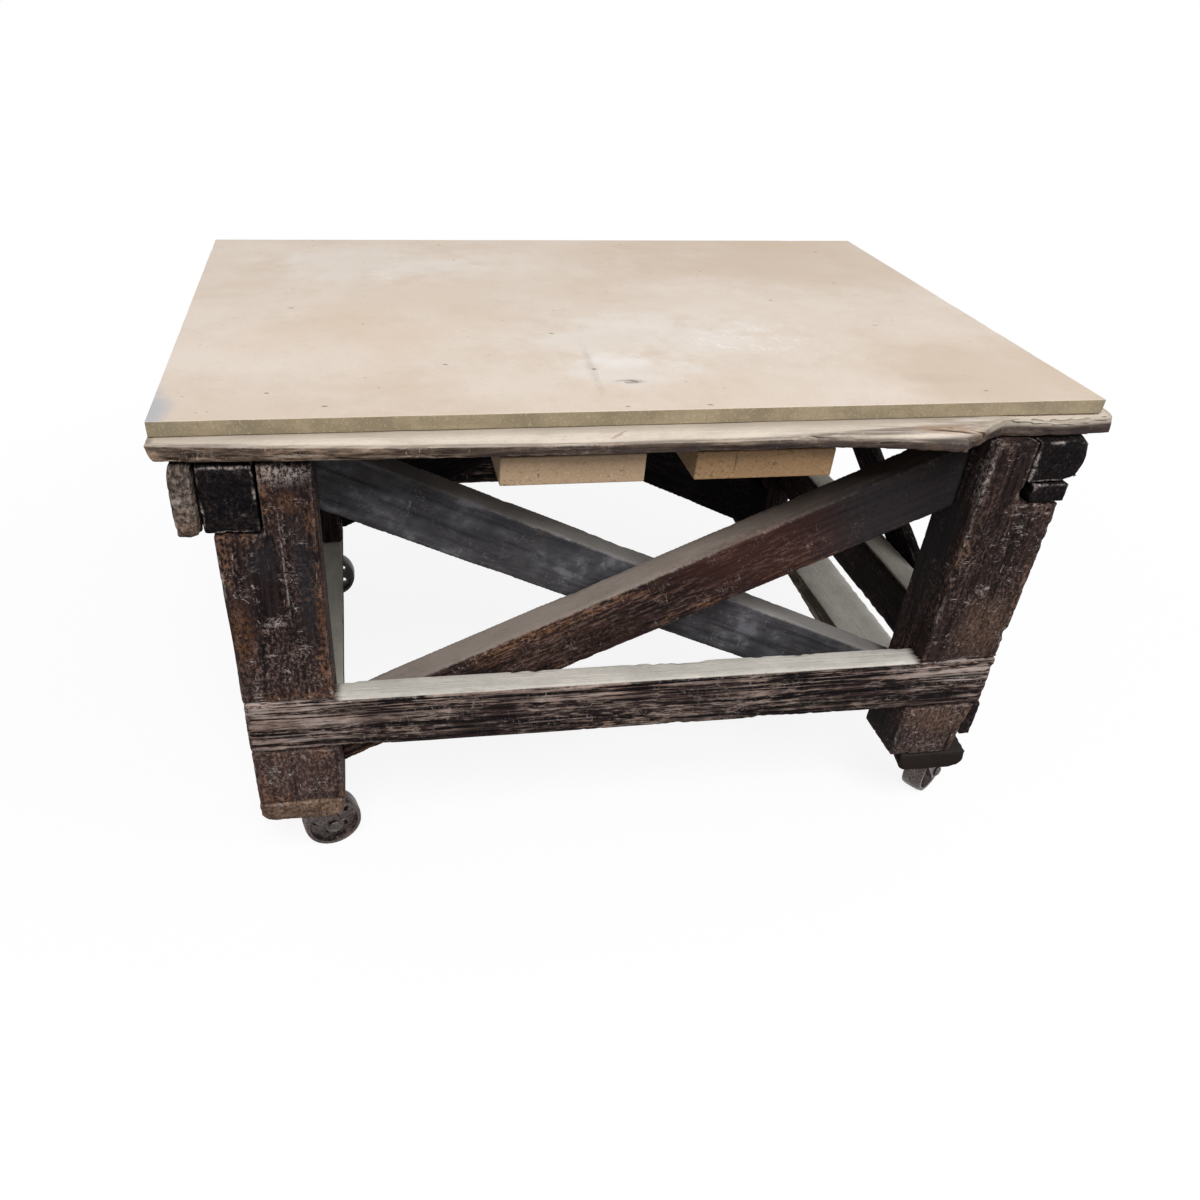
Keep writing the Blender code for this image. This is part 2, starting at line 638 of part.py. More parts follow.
def build_plate(name, carrier):
    """Make a caster's top plate with its screw holes."""
    outline = rounded_rectangle(PLATE_WIDTH, PLATE_LENGTH, PLATE_ROUND, PLATE_ROUND)
    plate = add_part(f"{name}_plate", outline_mesh(f"{name}_plate", outline, PLATE_THICK), IRON,
                     (0, 0, PLATE_BOTTOM + PLATE_THICK / 2), parent=carrier)
    level = PLATE_BOTTOM + PLATE_THICK / 2
    bore = cylinder_cutter(f"{name}_plate_bore", KINGPIN_RADIUS + FIT, PLATE_THICK * 2, PIN_STEPS,
                           (0, 0, level), parent=carrier)
    combine(plate, bore)
    across = PLATE_WIDTH / 2 - PLATE_HOLE_INSET
    along = PLATE_LENGTH / 2 - PLATE_HOLE_INSET
    for side in (-1, 1):
        for end in (-1, 1):
            hole = cylinder_cutter(f"{name}_hole_{side}_{end}", PLATE_HOLE_RADIUS, PLATE_THICK * 2,
                                   PIN_STEPS // 2, (side * across, end * along, level), parent=carrier)
            combine(plate, hole)


def build_fork(name, carrier, cheek):
    """Make a caster's fork: a round crown with two cheeks that sweep back to the axle."""
    crown_radius = cheek + CHEEK_THICK + CROWN_MARGIN
    bm = bmesh.new()
    bmesh.ops.create_cone(bm, cap_ends=True, segments=ROUND_STEPS, radius1=crown_radius, radius2=crown_radius,
                          depth=CROWN_THICK)
    crown = write_mesh(f"{name}_fork", bm)
    smooth(crown)
    fork = add_part(f"{name}_fork", crown, IRON, (0, 0, CROWN_TOP - CROWN_THICK / 2), parent=carrier)
    eye = (CASTER_TRAIL, WHEEL_RADIUS)
    top = CROWN_TOP - CROWN_THICK / 2
    outline = [(CHEEK_REAR, top), (-CHEEK_FRONT, top), (-CHEEK_FRONT, top - CROWN_THICK)]
    outline += arc(eye, CHEEK_EYE, 200, 370, CORNER_STEPS * 3)
    for side in (-1, 1):
        tool = add_cutter(f"{name}_cheek_{side}", outline_mesh(f"{name}_cheek_{side}", outline, CHEEK_THICK),
                          (0, side * (cheek + CHEEK_THICK / 2), 0), (math.pi / 2, 0, 0), carrier)
        combine(fork, tool, "UNION")
    bore = cylinder_cutter(f"{name}_fork_bore", KINGPIN_RADIUS + FIT, CROWN_THICK * 3, PIN_STEPS,
                           (0, 0, CROWN_TOP), parent=carrier)
    combine(fork, bore)
    eyes = cylinder_cutter(f"{name}_fork_eyes", AXLE_RADIUS + FIT, crown_radius * 2, PIN_STEPS,
                           (CASTER_TRAIL, 0, WHEEL_RADIUS), (math.pi / 2, 0, 0), carrier)
    combine(fork, eyes)


def build_wheel(name, carrier):
    """Make a cast wheel: a crowned rim, a web with round holes and a hub on the axle."""
    rim = WHEEL_WIDTH / 2
    hub = rim + SIDE_PLAY - FIT
    web = WHEEL_WEB / 2
    inner = WHEEL_RADIUS - WHEEL_RIM
    upper = [(AXLE_RADIUS + FIT, hub), (WHEEL_HUB_RADIUS, hub), (WHEEL_HUB_RADIUS, web), (inner, web),
             (inner, rim), (WHEEL_RADIUS - WHEEL_CROWN, rim), (WHEEL_RADIUS, rim * TREAD_FLAT)]
    profile = upper + [(radius, -height) for radius, height in reversed(upper)]
    wheel = turned(f"{name}_wheel", profile, ROUND_STEPS, IRON, rotation=(math.pi / 2, 0, 0), parent=carrier,
                   closed=True)
    ring = (inner + WHEEL_HUB_RADIUS) / 2
    for number in range(WHEEL_HOLE_COUNT):
        angle = 2 * math.pi * (number + 0.5) / WHEEL_HOLE_COUNT
        place = (ring * math.cos(angle), 0, ring * math.sin(angle))
        hole = cylinder_cutter(f"{name}_wheel_hole_{number}", WHEEL_HOLE_RADIUS, WHEEL_WEB * 2,
                               PIN_STEPS // 2, place, (math.pi / 2, 0, 0), carrier)
        combine(wheel, hole)


build_top()
build_posts()
build_rails()
build_stretchers()
build_braces()
headings = {"front_left": HEADING_FRONT_LEFT, "front_right": HEADING_FRONT_RIGHT}
for side_name, line in build_runners().items():
    for end_sign, end_name in ((-1, "front"), (1, "back")):
        corner = f"{end_name}_{side_name}"
        place_y = end_sign * (HALF_DEPTH - CASTER_INSET)
        build_caster(f"caster_{corner}", line, place_y, headings.get(corner, 0))
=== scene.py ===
"""Dressed scene of an old timber factory cart: worn posts and braces, a loose sheet and iron casters."""
import json
import logging
import math
from dataclasses import dataclass, field
from enum import Enum

import bmesh
import bpy
from mathutils import Matrix, Vector, kdtree, noise

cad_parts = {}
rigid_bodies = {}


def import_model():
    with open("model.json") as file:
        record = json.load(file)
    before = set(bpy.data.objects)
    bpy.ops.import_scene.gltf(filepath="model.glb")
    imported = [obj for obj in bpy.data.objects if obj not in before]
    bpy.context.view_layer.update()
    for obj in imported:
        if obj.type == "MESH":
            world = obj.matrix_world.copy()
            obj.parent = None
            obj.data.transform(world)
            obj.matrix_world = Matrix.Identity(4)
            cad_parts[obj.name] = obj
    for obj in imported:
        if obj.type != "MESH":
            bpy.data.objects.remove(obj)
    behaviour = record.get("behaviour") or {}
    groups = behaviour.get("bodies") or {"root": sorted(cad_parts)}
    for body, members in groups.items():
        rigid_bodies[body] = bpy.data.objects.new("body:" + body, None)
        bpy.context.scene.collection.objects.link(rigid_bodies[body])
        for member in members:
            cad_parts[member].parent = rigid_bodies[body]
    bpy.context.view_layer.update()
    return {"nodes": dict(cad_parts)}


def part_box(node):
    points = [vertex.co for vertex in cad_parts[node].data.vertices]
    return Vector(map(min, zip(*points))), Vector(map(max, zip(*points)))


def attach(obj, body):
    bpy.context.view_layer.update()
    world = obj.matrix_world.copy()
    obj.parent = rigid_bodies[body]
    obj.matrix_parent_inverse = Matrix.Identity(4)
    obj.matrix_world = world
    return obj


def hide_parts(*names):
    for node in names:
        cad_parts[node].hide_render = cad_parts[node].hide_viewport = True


LOG = logging.getLogger("factory_cart")
CART = "cart"
SEEN_RAYS = ("Camera", "Glossy", "Transmission")

# Attribute that keeps a timber's wear, and how it is found from the sawn edges
WEAR_LAYER = "wear"
EDGE_GLOW = 0.020
EDGE_STEP = 0.003
EDGE_ANGLE = math.radians(28)
MERGE_GAP = 1e-5

# Offsets that give each numbered timber its own pattern and its own wear
PATTERN_SHIFT = (1.7, 0.9, 2.3)
WEAR_SHIFT = (3.1, 1.3, 0.7)

# Fineness, along and across the grain, of the noise that wears a timber
CHIP_GRAIN = Vector((14, 40, 40))
BITE_GRAIN = Vector((75, 110, 110))
COMB_GRAIN = Vector((6, 140, 140))
FINE_COMB_GRAIN = Vector((13, 290, 290))
UNEVEN_GRAIN = 9

# Upward part of a normal where dust begins to lie, and the rise from there to full dust
DUST_SLOPE = 0.50
DUST_RISE = 0.35

# Heights between which soot and painted shade under the deck begin and dirt from the floor ends, and a
# distance beyond the cart
SOOT_AND_SHADE_LEVELS = (0.50, 0.60)
FOOT_LEVELS = (0.46, 0.24)
BEYOND = 9.0

# Lengths over which a timber's ridges and its dust come and go
CREST_FADE = 0.040
TAIL_FADE = 0.060
BUTT_FADE = (0.003, 0.007)
SPAN_FADE = 0.015
FORE_FADE = 0.05

Triple = tuple[float, float, float]
Colour = Triple
Band = tuple[float, float]
Nodes = dict[str, bpy.types.Object]
ORIGIN = (0.0, 0.0, 0.0)
EVEN = (1.0, 1.0, 1.0)


class Side(Enum):
    """Left and right of the cart, seen from its front."""

    LEFT = "left"
    RIGHT = "right"


class End(Enum):
    """Front and back of the cart."""

    FRONT = "front"
    BACK = "back"


class Value:
    """A socket of a node tree that takes part in arithmetic."""

    def __init__(self, graph: "Graph", socket: bpy.types.NodeSocket) -> None:
        """Keep the socket and the graph that it belongs to."""
        self.graph = graph
        self.socket = socket

    def _math(self, operation: str, first: "Operand", second: "Operand") -> "Value":
        """Add a Math node for two operands."""
        return self.graph.add("ShaderNodeMath", {"operation": operation}, {0: first, 1: second})

    def __add__(self, other: "Operand") -> "Value":
        """Add."""
        return self._math("ADD", self, other)

    def __radd__(self, other: "Operand") -> "Value":
        """Add to a number."""
        return self._math("ADD", other, self)

    def __sub__(self, other: "Operand") -> "Value":
        """Subtract."""
        return self._math("SUBTRACT", self, other)

    def __rsub__(self, other: "Operand") -> "Value":
        """Subtract from a number."""
        return self._math("SUBTRACT", other, self)

    def __mul__(self, other: "Operand") -> "Value":
        """Multiply."""
        return self._math("MULTIPLY", self, other)

    def __rmul__(self, other: "Operand") -> "Value":
        """Multiply a number."""
        return self._math("MULTIPLY", other, self)

    def __abs__(self) -> "Value":
        """Drop the sign."""
        return self._math("ABSOLUTE", self, 0.0)

    def step(self, low: float, high: float, floor: float = 0.0) -> "Value":
        """Rise smoothly from a floor to 1 between two values.

        Args:
            low: Value that gives the floor.
            high: Value that gives 1; where it is below low, the step falls.
            floor: Least result.

        Returns:
            The stepped value.
        """
        settings = {"interpolation_type": "SMOOTHSTEP", "clamp": True}
        ends = {1: low, 2: high, 3: floor, 4: 1.0} if low < high else {1: high, 2: low, 3: 1.0, 4: floor}
        return self.graph.add("ShaderNodeMapRange", settings, {0: self, **ends})


Operand = Value | float


class Graph:
    """Node tree that is written as expressions on its values."""

    def __init__(self, tree: bpy.types.NodeTree) -> None:
        """Keep the tree."""
        self.tree = tree

    def add(self, kind: str, settings: dict[str, object], inputs: dict[int | str, object],
            output: int | str = 0) -> Value:
        """Add a node.

        Args:
            kind: Type of the node.
            settings: Properties of the node, set before its sockets.
            inputs: Values or links of its sockets, by name or number.
            output: Name or number of the socket to return.

        Returns:
            The chosen output.
        """
        node = self.tree.nodes.new(kind)
        for key, setting in settings.items():
            setattr(node, key, setting)
        for key, entry in inputs.items():
            self.feed(node.inputs[key], entry)
        return Value(self, node.outputs[output])

    def feed(self, socket: bpy.types.NodeSocket, entry: object) -> None:
        """Link a value to a socket, or set the socket to a constant.

        Args:
            socket: Socket to feed.
            entry: Value or constant.
        """
        if isinstance(entry, Value):
            self.tree.links.new(entry.socket, socket)
        else:
            socket.default_value = entry

    def vector(self, operation: str, first: Value, second: Triple) -> Value:
        """Add a Vector Math node for a vector and a constant one."""
        return self.add("ShaderNodeVectorMath", {"operation": operation}, {0: first, 1: second})

    def length(self, vector: Value) -> Value:
        """Return the length of a vector."""
        return self.add("ShaderNodeVectorMath", {"operation": "LENGTH"}, {0: vector}, "Value")

    def seen(self) -> Value:
        """Return 1 for rays that show the background and 0 for rays that only light the cart."""
        camera, *others = (self.add("ShaderNodeLightPath", {}, {}, f"Is {kind} Ray") for kind in SEEN_RAYS)
        return sum(others, camera).step(0.0, 1.0)


@dataclass(frozen=True)
class Patch:
    """Place on a piece, with the half widths of a mark about it."""

    centre: Triple
    reach: Triple


class Surface(Graph):
    """Node tree of one material, whose colour is painted layer by layer."""

    def __init__(self, name: str, base: Colour) -> None:
        """Make the material and its coordinates.

        Args:
            name: Name of the material.
            base: Colour under every layer of paint.
        """
        self.material = bpy.data.materials.new(name)
        self.material.use_nodes = True
        super().__init__(self.material.node_tree)
        self.shader = self.tree.nodes["Principled BSDF"]
        self.colour: Value | Colour = base
        self.place = self.add("ShaderNodeTexCoord", {}, {}, "Object")
        axes = (self.add("ShaderNodeSeparateXYZ", {}, {0: self.place}, axis) for axis in "XYZ")
        self.x, self.y, self.z = axes

    def turned(self, turn: Triple, scale: Triple = EVEN, shift: Triple = ORIGIN) -> Value:
        """Turn the coordinates, then stretch and move them.

        Args:
            turn: Euler angles.
            scale: Stretch along the turned axes.
            shift: Offset after the stretch.

        Returns:
            The new coordinates.
        """
        aligned = self.add("ShaderNodeMapping", {}, {"Vector": self.place, "Rotation": turn})
        return self.add("ShaderNodeMapping", {}, {"Vector": aligned, "Scale": scale, "Location": shift})

    def noise(self, scale: float | Triple, detail: float = 4.0, roughness: float = 0.55,
              distortion: float = 0.0, turn: Triple = ORIGIN, shift: Triple = ORIGIN) -> Value:
        """Return cloudy noise from 0 to 1.

        Args:
            scale: Fineness, alike in all directions or one for each turned axis.
            detail: Number of finer layers.
            roughness: Strength of the finer layers.
            distortion: How far the noise is bent.
            turn: Euler angles that turn the axes.
            shift: Offset along the turned axes.

        Returns:
            The noise.
        """
        place = self.place
        if isinstance(scale, tuple):
            place = self.turned(turn, scale, shift)
            scale = 1.0
        return self.add("ShaderNodeTexNoise", {}, {"Vector": place, "Scale": scale, "Detail": detail,
                                                   "Roughness": roughness, "Distortion": distortion})

    def cells(self, place: Value, scale: float) -> Value:
        """Return the distance to the nearest of points scattered over X and Y."""
        settings = {"voronoi_dimensions": "2D"}
        return self.add("ShaderNodeTexVoronoi", settings, {"Vector": place, "Scale": scale})

    def blend(self, factor: Operand, first: Value | Colour, second: Value | Colour) -> Value:
        """Mix two colours.

        Args:
            factor: Share of the second colour.
            first: Colour at 0.
            second: Colour at 1.

        Returns:
            The mixed colour.
        """
        first, second = (end if isinstance(end, Value) else (*end, 1.0) for end in (first, second))
        return self.add("ShaderNodeMix", {"data_type": "RGBA"}, {0: factor, 6: first, 7: second}, 2)

    def paint(self, mask: Operand, tint: Value | Colour) -> None:
        """Lay a tint over the colour so far."""
        self.colour = self.blend(mask, self.colour, tint)

    def near(self, patch: Patch, rough: Value, place: Value | None = None) -> Value:
        """Return a soft patch.

        Args:
            patch: Middle and half widths.
            rough: Noise that frays its edge.
            place: Coordinates, where they aren't the piece's own.

        Returns:
            A mask from 0 to 1.
        """
        moved = self.vector("SUBTRACT", self.place if place is None else place, patch.centre)
        far = self.length(self.vector("DIVIDE", moved, patch.reach))
        return (far + (rough - 0.5) * 1.6).step(1.0, 0.25)

    def nearby(self, patches: tuple[Patch, ...], rough: Value, place: Value | None = None) -> Value:
        """Return the sum of several soft patches."""
        first, *others = (self.near(patch, rough, place) for patch in patches)
        return sum(others, first)

    def finish(self, roughness: Operand, height: Value, depth: float, strength: float,
               metallic: Operand = 0.0, specular: float = 0.5) -> bpy.types.Material:
        """Feed the shader.

        Args:
            roughness: Roughness.
            height: Height of the bump.
            depth: Depth of the bump in metres.
            strength: Strength of the bump.
            metallic: Metallic share.
            specular: Level of the mirror reflection.

        Returns:
            The finished material.
        """
        bump = self.add("ShaderNodeBump", {}, {"Strength": strength, "Distance": depth, "Height": height})
        entries = {"Specular IOR Level": specular, "Base Color": self.colour, "Roughness": roughness,
                   "Metallic": metallic, "Normal": bump}
        for name, entry in entries.items():
            self.feed(self.shader.inputs[name], entry)
        return self.material


class Grain(Surface):
    """Material of one timber, with the wear and the noises that its marks share."""

    def __init__(self, wood: "WornWood", turn: Triple, number: int) -> None:
        """Read the wear and make the noises.

        Args:
            wood: Finish.
            turn: Euler angles that bring the grain onto X.
            number: Timber's own number, which shifts the pattern.
        """
        super().__init__(f"{wood.name}_{number}", wood.black)
        self.turn = turn
        self.shift = tuple(part * number for part in PATTERN_SHIFT)
        stored = self.add("ShaderNodeAttribute", {"attribute_name": WEAR_LAYER}, {}, "Color")
        wear = (self.add("ShaderNodeSeparateColor", {}, {0: stored}, channel) for channel in range(3))
        self.edge, self.up, self.groove = wear
        self.rim = self.add("ShaderNodeAttribute", {"attribute_name": WEAR_LAYER}, {}, "Alpha")
        # 1 below the soot levels; above them the soot share dims the timber with soot and painted shade under
        # the deck
        self.clean = 1.0 - self.z.step(*SOOT_AND_SHADE_LEVELS) * wood.soot
        self.fibre = self.drawn(8, 190, 5, 0.70)
        self.fleck = self.drawn(wood.stretch, 230, 4, 0.76)
        self.speck = self.drawn(150, 210, 4, 0.82)
        self.cloud = self.drawn(5, 9, 6, 0.62)
        self.patch = self.drawn(9, 19, 5, 0.66)

    def drawn(self, along: float, across: float, detail: float, roughness: float,
              distortion: float = 0.0) -> Value:
        """Return noise with one fineness along the grain and another across it."""
        return self.noise((along, across, across), detail, roughness, distortion, self.turn, self.shift)


@dataclass(frozen=True)
class WornWood:
    """Old timber: black grain, rubbed flecks, warm worn edges, pale scratches and settled dust.

    Shares run from 0 to 1. Dust lies where X is within span of the middle and Y is past fore. Ridges are
    bright above crest and past span, and end at the sawn butts. Soft is the blur of the grain, and stretch
    the fineness of the flecks along it.
    """

    name: str
    black: Colour = (0.0045, 0.0038, 0.0044)
    brown: Colour = (0.029, 0.0175, 0.0175)
    rubbed: Colour = (0.150, 0.096, 0.081)
    warm: Colour = (0.200, 0.096, 0.047)
    pale: Colour = (0.440, 0.380, 0.355)
    dust: Colour = (0.560, 0.515, 0.455)
    flecks: float = 0.80
    warmth: float = 0.60
    scratches: float = 0.50
    # rims: pale edge lines, rubbed wear with a painted highlight
    rim_wear_and_highlights: float = 0.50
    dusting: float = 0.0
    span: float = BEYOND
    fore: float = -BEYOND
    stretch: float = 42.0
    ridges: float = 0.0
    crest: float = -1.0
    butt: float = BEYOND
    soft: float = 0.12
    bare: float = 0.0
    smudges: float = 0.0
    film: float = 0.0
    foot: float = 0.0
    # soot: share of soot and of painted shade under the deck, above the soot levels
    soot: float = 0.0
    rough: float = 0.60

    def material(self, turn: Triple, number: int) -> bpy.types.Material:
        """Make the finish for one timber.

        Args:
            turn: Euler angles that bring the grain onto X.
            number: Timber's own number, which shifts the pattern.

        Returns:
            The material.
        """
        grain = Grain(self, turn, number)
        self._rub(grain)
        ridge = self._comb(grain)
        grain.paint(grain.groove * 0.9, self.black)
        # Scratches fade near the top: soot and painted shade under the deck
        grain.paint(self._marks(grain) * (0.3 + 0.7 * grain.clean), self.pale)
        settled = self._settled(grain)
        shade = tuple(part * 0.82 for part in self.dust)
        grain.paint(settled, grain.blend(grain.patch.step(0.35, 0.62), shade, self.dust))
        self.details(grain)
        rough = self.rough + 0.25 * grain.fleck + settled * 0.15
        height = grain.fibre * 0.45 + grain.fleck * 0.35 + grain.speck * 0.25
        height = height + ridge * self.ridges - grain.groove * 0.2
        return grain.finish(rough, height, depth=0.0040, strength=0.60, specular=0.03)

    def _rub(self, grain: Grain) -> None:
        """Paint the brown grain, rubbed flecks, warm edges, a pale film and smudges.

        Args:
            grain: Timber's material.
        """
        low = grain.z.step(*FOOT_LEVELS) * self.foot
        flecks = grain.fleck.step(0.49, 0.60) * (grain.patch + low * 0.25).step(0.36, 0.60)
        glow = grain.rim.step(0.10, 0.80) * grain.patch.step(0.44, 0.58) + grain.cloud.step(0.58, 0.70) * 0.7
        glow = glow * grain.speck.step(0.42, 0.58, 0.25) * grain.fleck.step(0.38, 0.56)
        smear = grain.drawn(16, 22, 6, 0.60)
        grain.paint(grain.fibre.step(0.51 - self.soft, 0.51 + self.soft), self.brown)
        grain.paint(low * (0.10 + 0.22 * grain.speck.step(0.40, 0.60)), self.rubbed)
        # Flecks and warm edges fade near the top: soot and painted shade under the deck
        grain.paint(flecks * (self.flecks + low * 0.2) * grain.clean, self.rubbed)
        grain.paint((glow * self.warmth * grain.clean).step(0.0, 1.0), self.warm)
        grain.paint(smear.step(0.40, 0.70, 0.4) * self.film, self.pale)
        grain.paint(smear.step(0.56, 0.68) * (0.5 + 0.5 * grain.speck) * self.smudges, self.pale)

    def _comb(self, grain: Grain) -> Value:
        """Paint pale ridges and black furrows along the grain.

        Args:
            grain: Timber's material.

        Returns:
            Height of the ridges.
        """
        ridge = grain.drawn(5, 215, 5, 0.68, distortion=0.25)
        far = abs(grain.x)
        tail = far.step(self.span - TAIL_FADE, self.span)
        lying = (grain.z.step(self.crest - CREST_FADE, self.crest) + tail * 0.60).step(0.0, 1.0)
        sawn = far.step(*(self.butt - part for part in BUTT_FADE))
        lit = (ridge + lying * 0.03).step(0.53, 0.58) * grain.patch.step(0.36, 0.56, 0.50)
        lit = lit * grain.fleck.step(0.36, 0.52, 0.50) * (0.32 + 0.68 * lying) * sawn
        light = grain.blend(grain.patch.step(0.44, 0.64) * 0.70, self.rubbed, self.pale)
        grain.paint(lit * self.ridges, light)
        grain.paint(ridge.step(0.48, 0.41) * (1.0 - tail * 0.30) * self.ridges * sawn, self.black)
        return ridge

    def _marks(self, grain: Grain) -> Value:
        """Return a mask of the pale scratches and the pale rims, which are rubbed wear with a painted
        highlight along the edges.

        Args:
            grain: Timber's material.

        Returns:
            A mask from 0 to 1.
        """
        across = grain.drawn(200, 44, 5, 0.72)
        along = grain.drawn(32, 230, 5, 0.72)
        bent = grain.drawn(60, 40, 4, 0.65, distortion=0.7)
        gather = grain.drawn(24, 34, 4, 0.65)
        marks = across.step(0.57, 0.68) * gather.step(0.44, 0.60, 0.25)
        marks = marks + along.step(0.59, 0.70) * gather.step(0.54, 0.42, 0.25)
        marks = marks * grain.patch.step(0.38, 0.58, 0.40)
        hairs = abs(bent - 0.5).step(0.018, 0.004) * grain.speck.step(0.40, 0.54) * gather.step(0.50, 0.60)
        # Pale rims along the edges: rubbed wear and a painted highlight
        rim_wear_and_highlights = grain.edge.step(0.36, 0.85) * grain.speck.step(0.40, 0.56) * self.rim_wear_and_highlights
        return ((marks + hairs * 0.8) * self.scratches + rim_wear_and_highlights).step(0.0, 1.0)

    def _settled(self, grain: Grain) -> Value:
        """Return a mask of the dust that lies on the timber.

        Args:
            grain: Timber's material.

        Returns:
            A mask from 0 to 1.
        """
        lying = abs(grain.x).step(self.span, self.span - SPAN_FADE)
        lying = lying * grain.y.step(self.fore, self.fore + FORE_FADE)
        bared = grain.rim.step(0.72, 0.97) * self.bare * grain.fibre.step(0.44, 0.56, 0.55)
        dust = grain.up * grain.speck.step(0.30, 0.55, 0.86) * self.dusting
        # Dust thins near the top: soot and painted shade under the deck
        return dust * lying * (1.0 - bared) * (0.15 + 0.85 * grain.clean)

    def details(self, grain: Grain) -> None:
        """Paint nothing more; a kind of timber with marks of its own paints them here."""


@dataclass(frozen=True)
class DeckPlank(WornWood):
    """Deck board: pale on top, stained at its edge, with a fresh crack beside its broken corner.

    A band is the pair of places, along X, Y or Z, between which a stain comes or goes.
    """

    raw: Colour = (0.330, 0.225, 0.160)
    stain: Colour = (0.330, 0.215, 0.170)
    # Colour of the dirt and painted shade beside the sheet, and of the dirt along the tear
    dirt: Colour = (0.300, 0.255, 0.205)
    fibres: Colour = (0.780, 0.740, 0.690)
    # Colour of the painted shade on the lower front face, in the recess under the top edge
    recess_shade: Colour = (0.040, 0.031, 0.030)
    lip: Colour = (0.500, 0.435, 0.360)
    split: float = 0.079
    crossing: float = -0.787
    sheet_shade_y: Band = (-0.452, -0.418)
    torn_x: Band = (0.24, 0.40)
    broken_x: Band = (0.405, 0.430)
    upper_z: Band = (0.706, 0.714)
    recess_shade_x: Band = (-0.30, -0.16)
    recess_shade_z: Band = (0.7200, 0.7160)
    climb_x: Band = (0.16, 0.32)
    climb: float = 0.0055
    lip_y: Band = (-0.380, -0.400)
    lip_z: Band = (0.7075, 0.7125)
    tip: Patch = Patch((-0.622, -0.434, 0.704), (0.020, 0.050, 0.014))
    streak: Patch = Patch((-0.3652, -0.2625, 0.721), (0.024, 0.0040, 0.03))
    opened: Patch = Patch((0.3942, -0.4182, 0.718), (0.070, 0.0120, 0.03))
    line: Patch = Patch((0.3122, -0.4154, 0.720), (0.050, 0.0020, 0.03))
    frayed: Patch = Patch((0.4000, -0.4270, 0.720), (0.034, 0.0110, 0.03))
    cracks: tuple[Patch, ...] = (Patch((0.3995, -0.4216, 0.718), (0.046, 0.0026, 0.03)),
                                 Patch((0.2178, -0.4452, 0.721), (0.022, 0.0026, 0.03)))

    def details(self, grain: Grain) -> None:
        """Paint the dirt and painted shade beside the sheet, the painted shade on the lower front face, the
        worn lip, the raw end and the break.

        Args:
            grain: Timber's material.
        """
        speck = grain.speck
        slant = grain.turned((0, 0, self.split))
        torn = grain.noise((14, 190, 60), 5, 0.7, turn=(0, 0, self.split))
        broken = grain.x.step(*self.broken_x)
        # Darker beside the sheet: dirt, and painted shade at the sheet's edge
        shade = grain.y.step(*self.sheet_shade_y) * (0.45 + 0.35 * speck)
        shade = shade + grain.x.step(*self.torn_x) * torn.step(0.36, 0.60) * 0.38
        shade = shade * (1.0 - broken * 0.60) * grain.z.step(*self.upper_z)
        # Painted shade: darker on the lower part of the front face, in the recess under the top edge
        below = (grain.z + grain.x.step(*self.climb_x) * self.climb).step(*self.recess_shade_z)
        below = below * grain.x.step(*self.recess_shade_x, 0.15)
        lip = broken * grain.z.step(*self.lip_z) * grain.y.step(*self.lip_y)
        streak = grain.near(self.streak, speck, grain.turned((0, 0, self.crossing)))
        opened = grain.near(self.opened, torn, slant)
        cracks = grain.nearby(self.cracks, torn, slant) + opened * torn.step(0.42, 0.36)
        grain.paint(shade.step(0.0, 1.1), self.dirt)
        grain.paint(below * (0.30 + 0.50 * torn.step(0.34, 0.58)), self.recess_shade)
        grain.paint(lip * (0.35 + 0.45 * speck), self.lip)
        grain.paint(grain.near(self.tip, speck) * 0.6, self.raw)
        grain.paint(streak * 0.6, self.stain)
        grain.paint(opened * torn.step(0.40, 0.54, 0.45), self.raw)
        grain.paint(grain.near(self.line, torn, slant) * 0.6, self.stain)
        grain.paint(grain.near(self.frayed, torn) * torn.step(0.46, 0.56) * 0.8, self.fibres)
        grain.paint(cracks.step(0.0, 1.0) * 0.85, self.black)


@dataclass(frozen=True)
class PostOak(WornWood):
    """Timber with dark patches, oil stains and painted shade on a face away from the light, warm flushed ones
    and pale frayed ones.
    """

    # Colour of the oil stains and of the painted shade on the right post's inner face
    oil_and_shade: Colour = (0.0170, 0.0165, 0.0190)
    soaked_and_shaded: tuple[Patch, ...] = ()
    flushed: tuple[Patch, ...] = ()
    frayed: tuple[Patch, ...] = ()

    def details(self, grain: Grain) -> None:
        """Paint the patches.

        Args:
            grain: Timber's material.
        """
        speck = grain.speck
        # Dark patches: oil stains, and painted shade where a patch lies on a face away from the light
        for patch in self.soaked_and_shaded:
            grain.paint(grain.near(patch, speck) * 0.72, self.oil_and_shade)
        for patch in self.flushed:
            grain.paint(grain.near(patch, speck) * speck.step(0.42, 0.60) * 0.55, self.warm)
        for patch in self.frayed:
            grain.paint(grain.near(patch, speck) * speck.step(0.45, 0.60) * 0.70, self.pale)


@dataclass(frozen=True)
class SolePlank(WornWood):
    """Sole plank: bare wood between the posts, dark with dirt at its front end."""

    dirt: Colour = (0.016, 0.0115, 0.0105)
    dirt_y: Band = (-0.36, -0.41)

    def details(self, grain: Grain) -> None:
        """Paint the dirt of the front end."""
        grain.paint(grain.y.step(*self.dirt_y) * (0.96 + 0.04 * grain.speck), self.dirt)


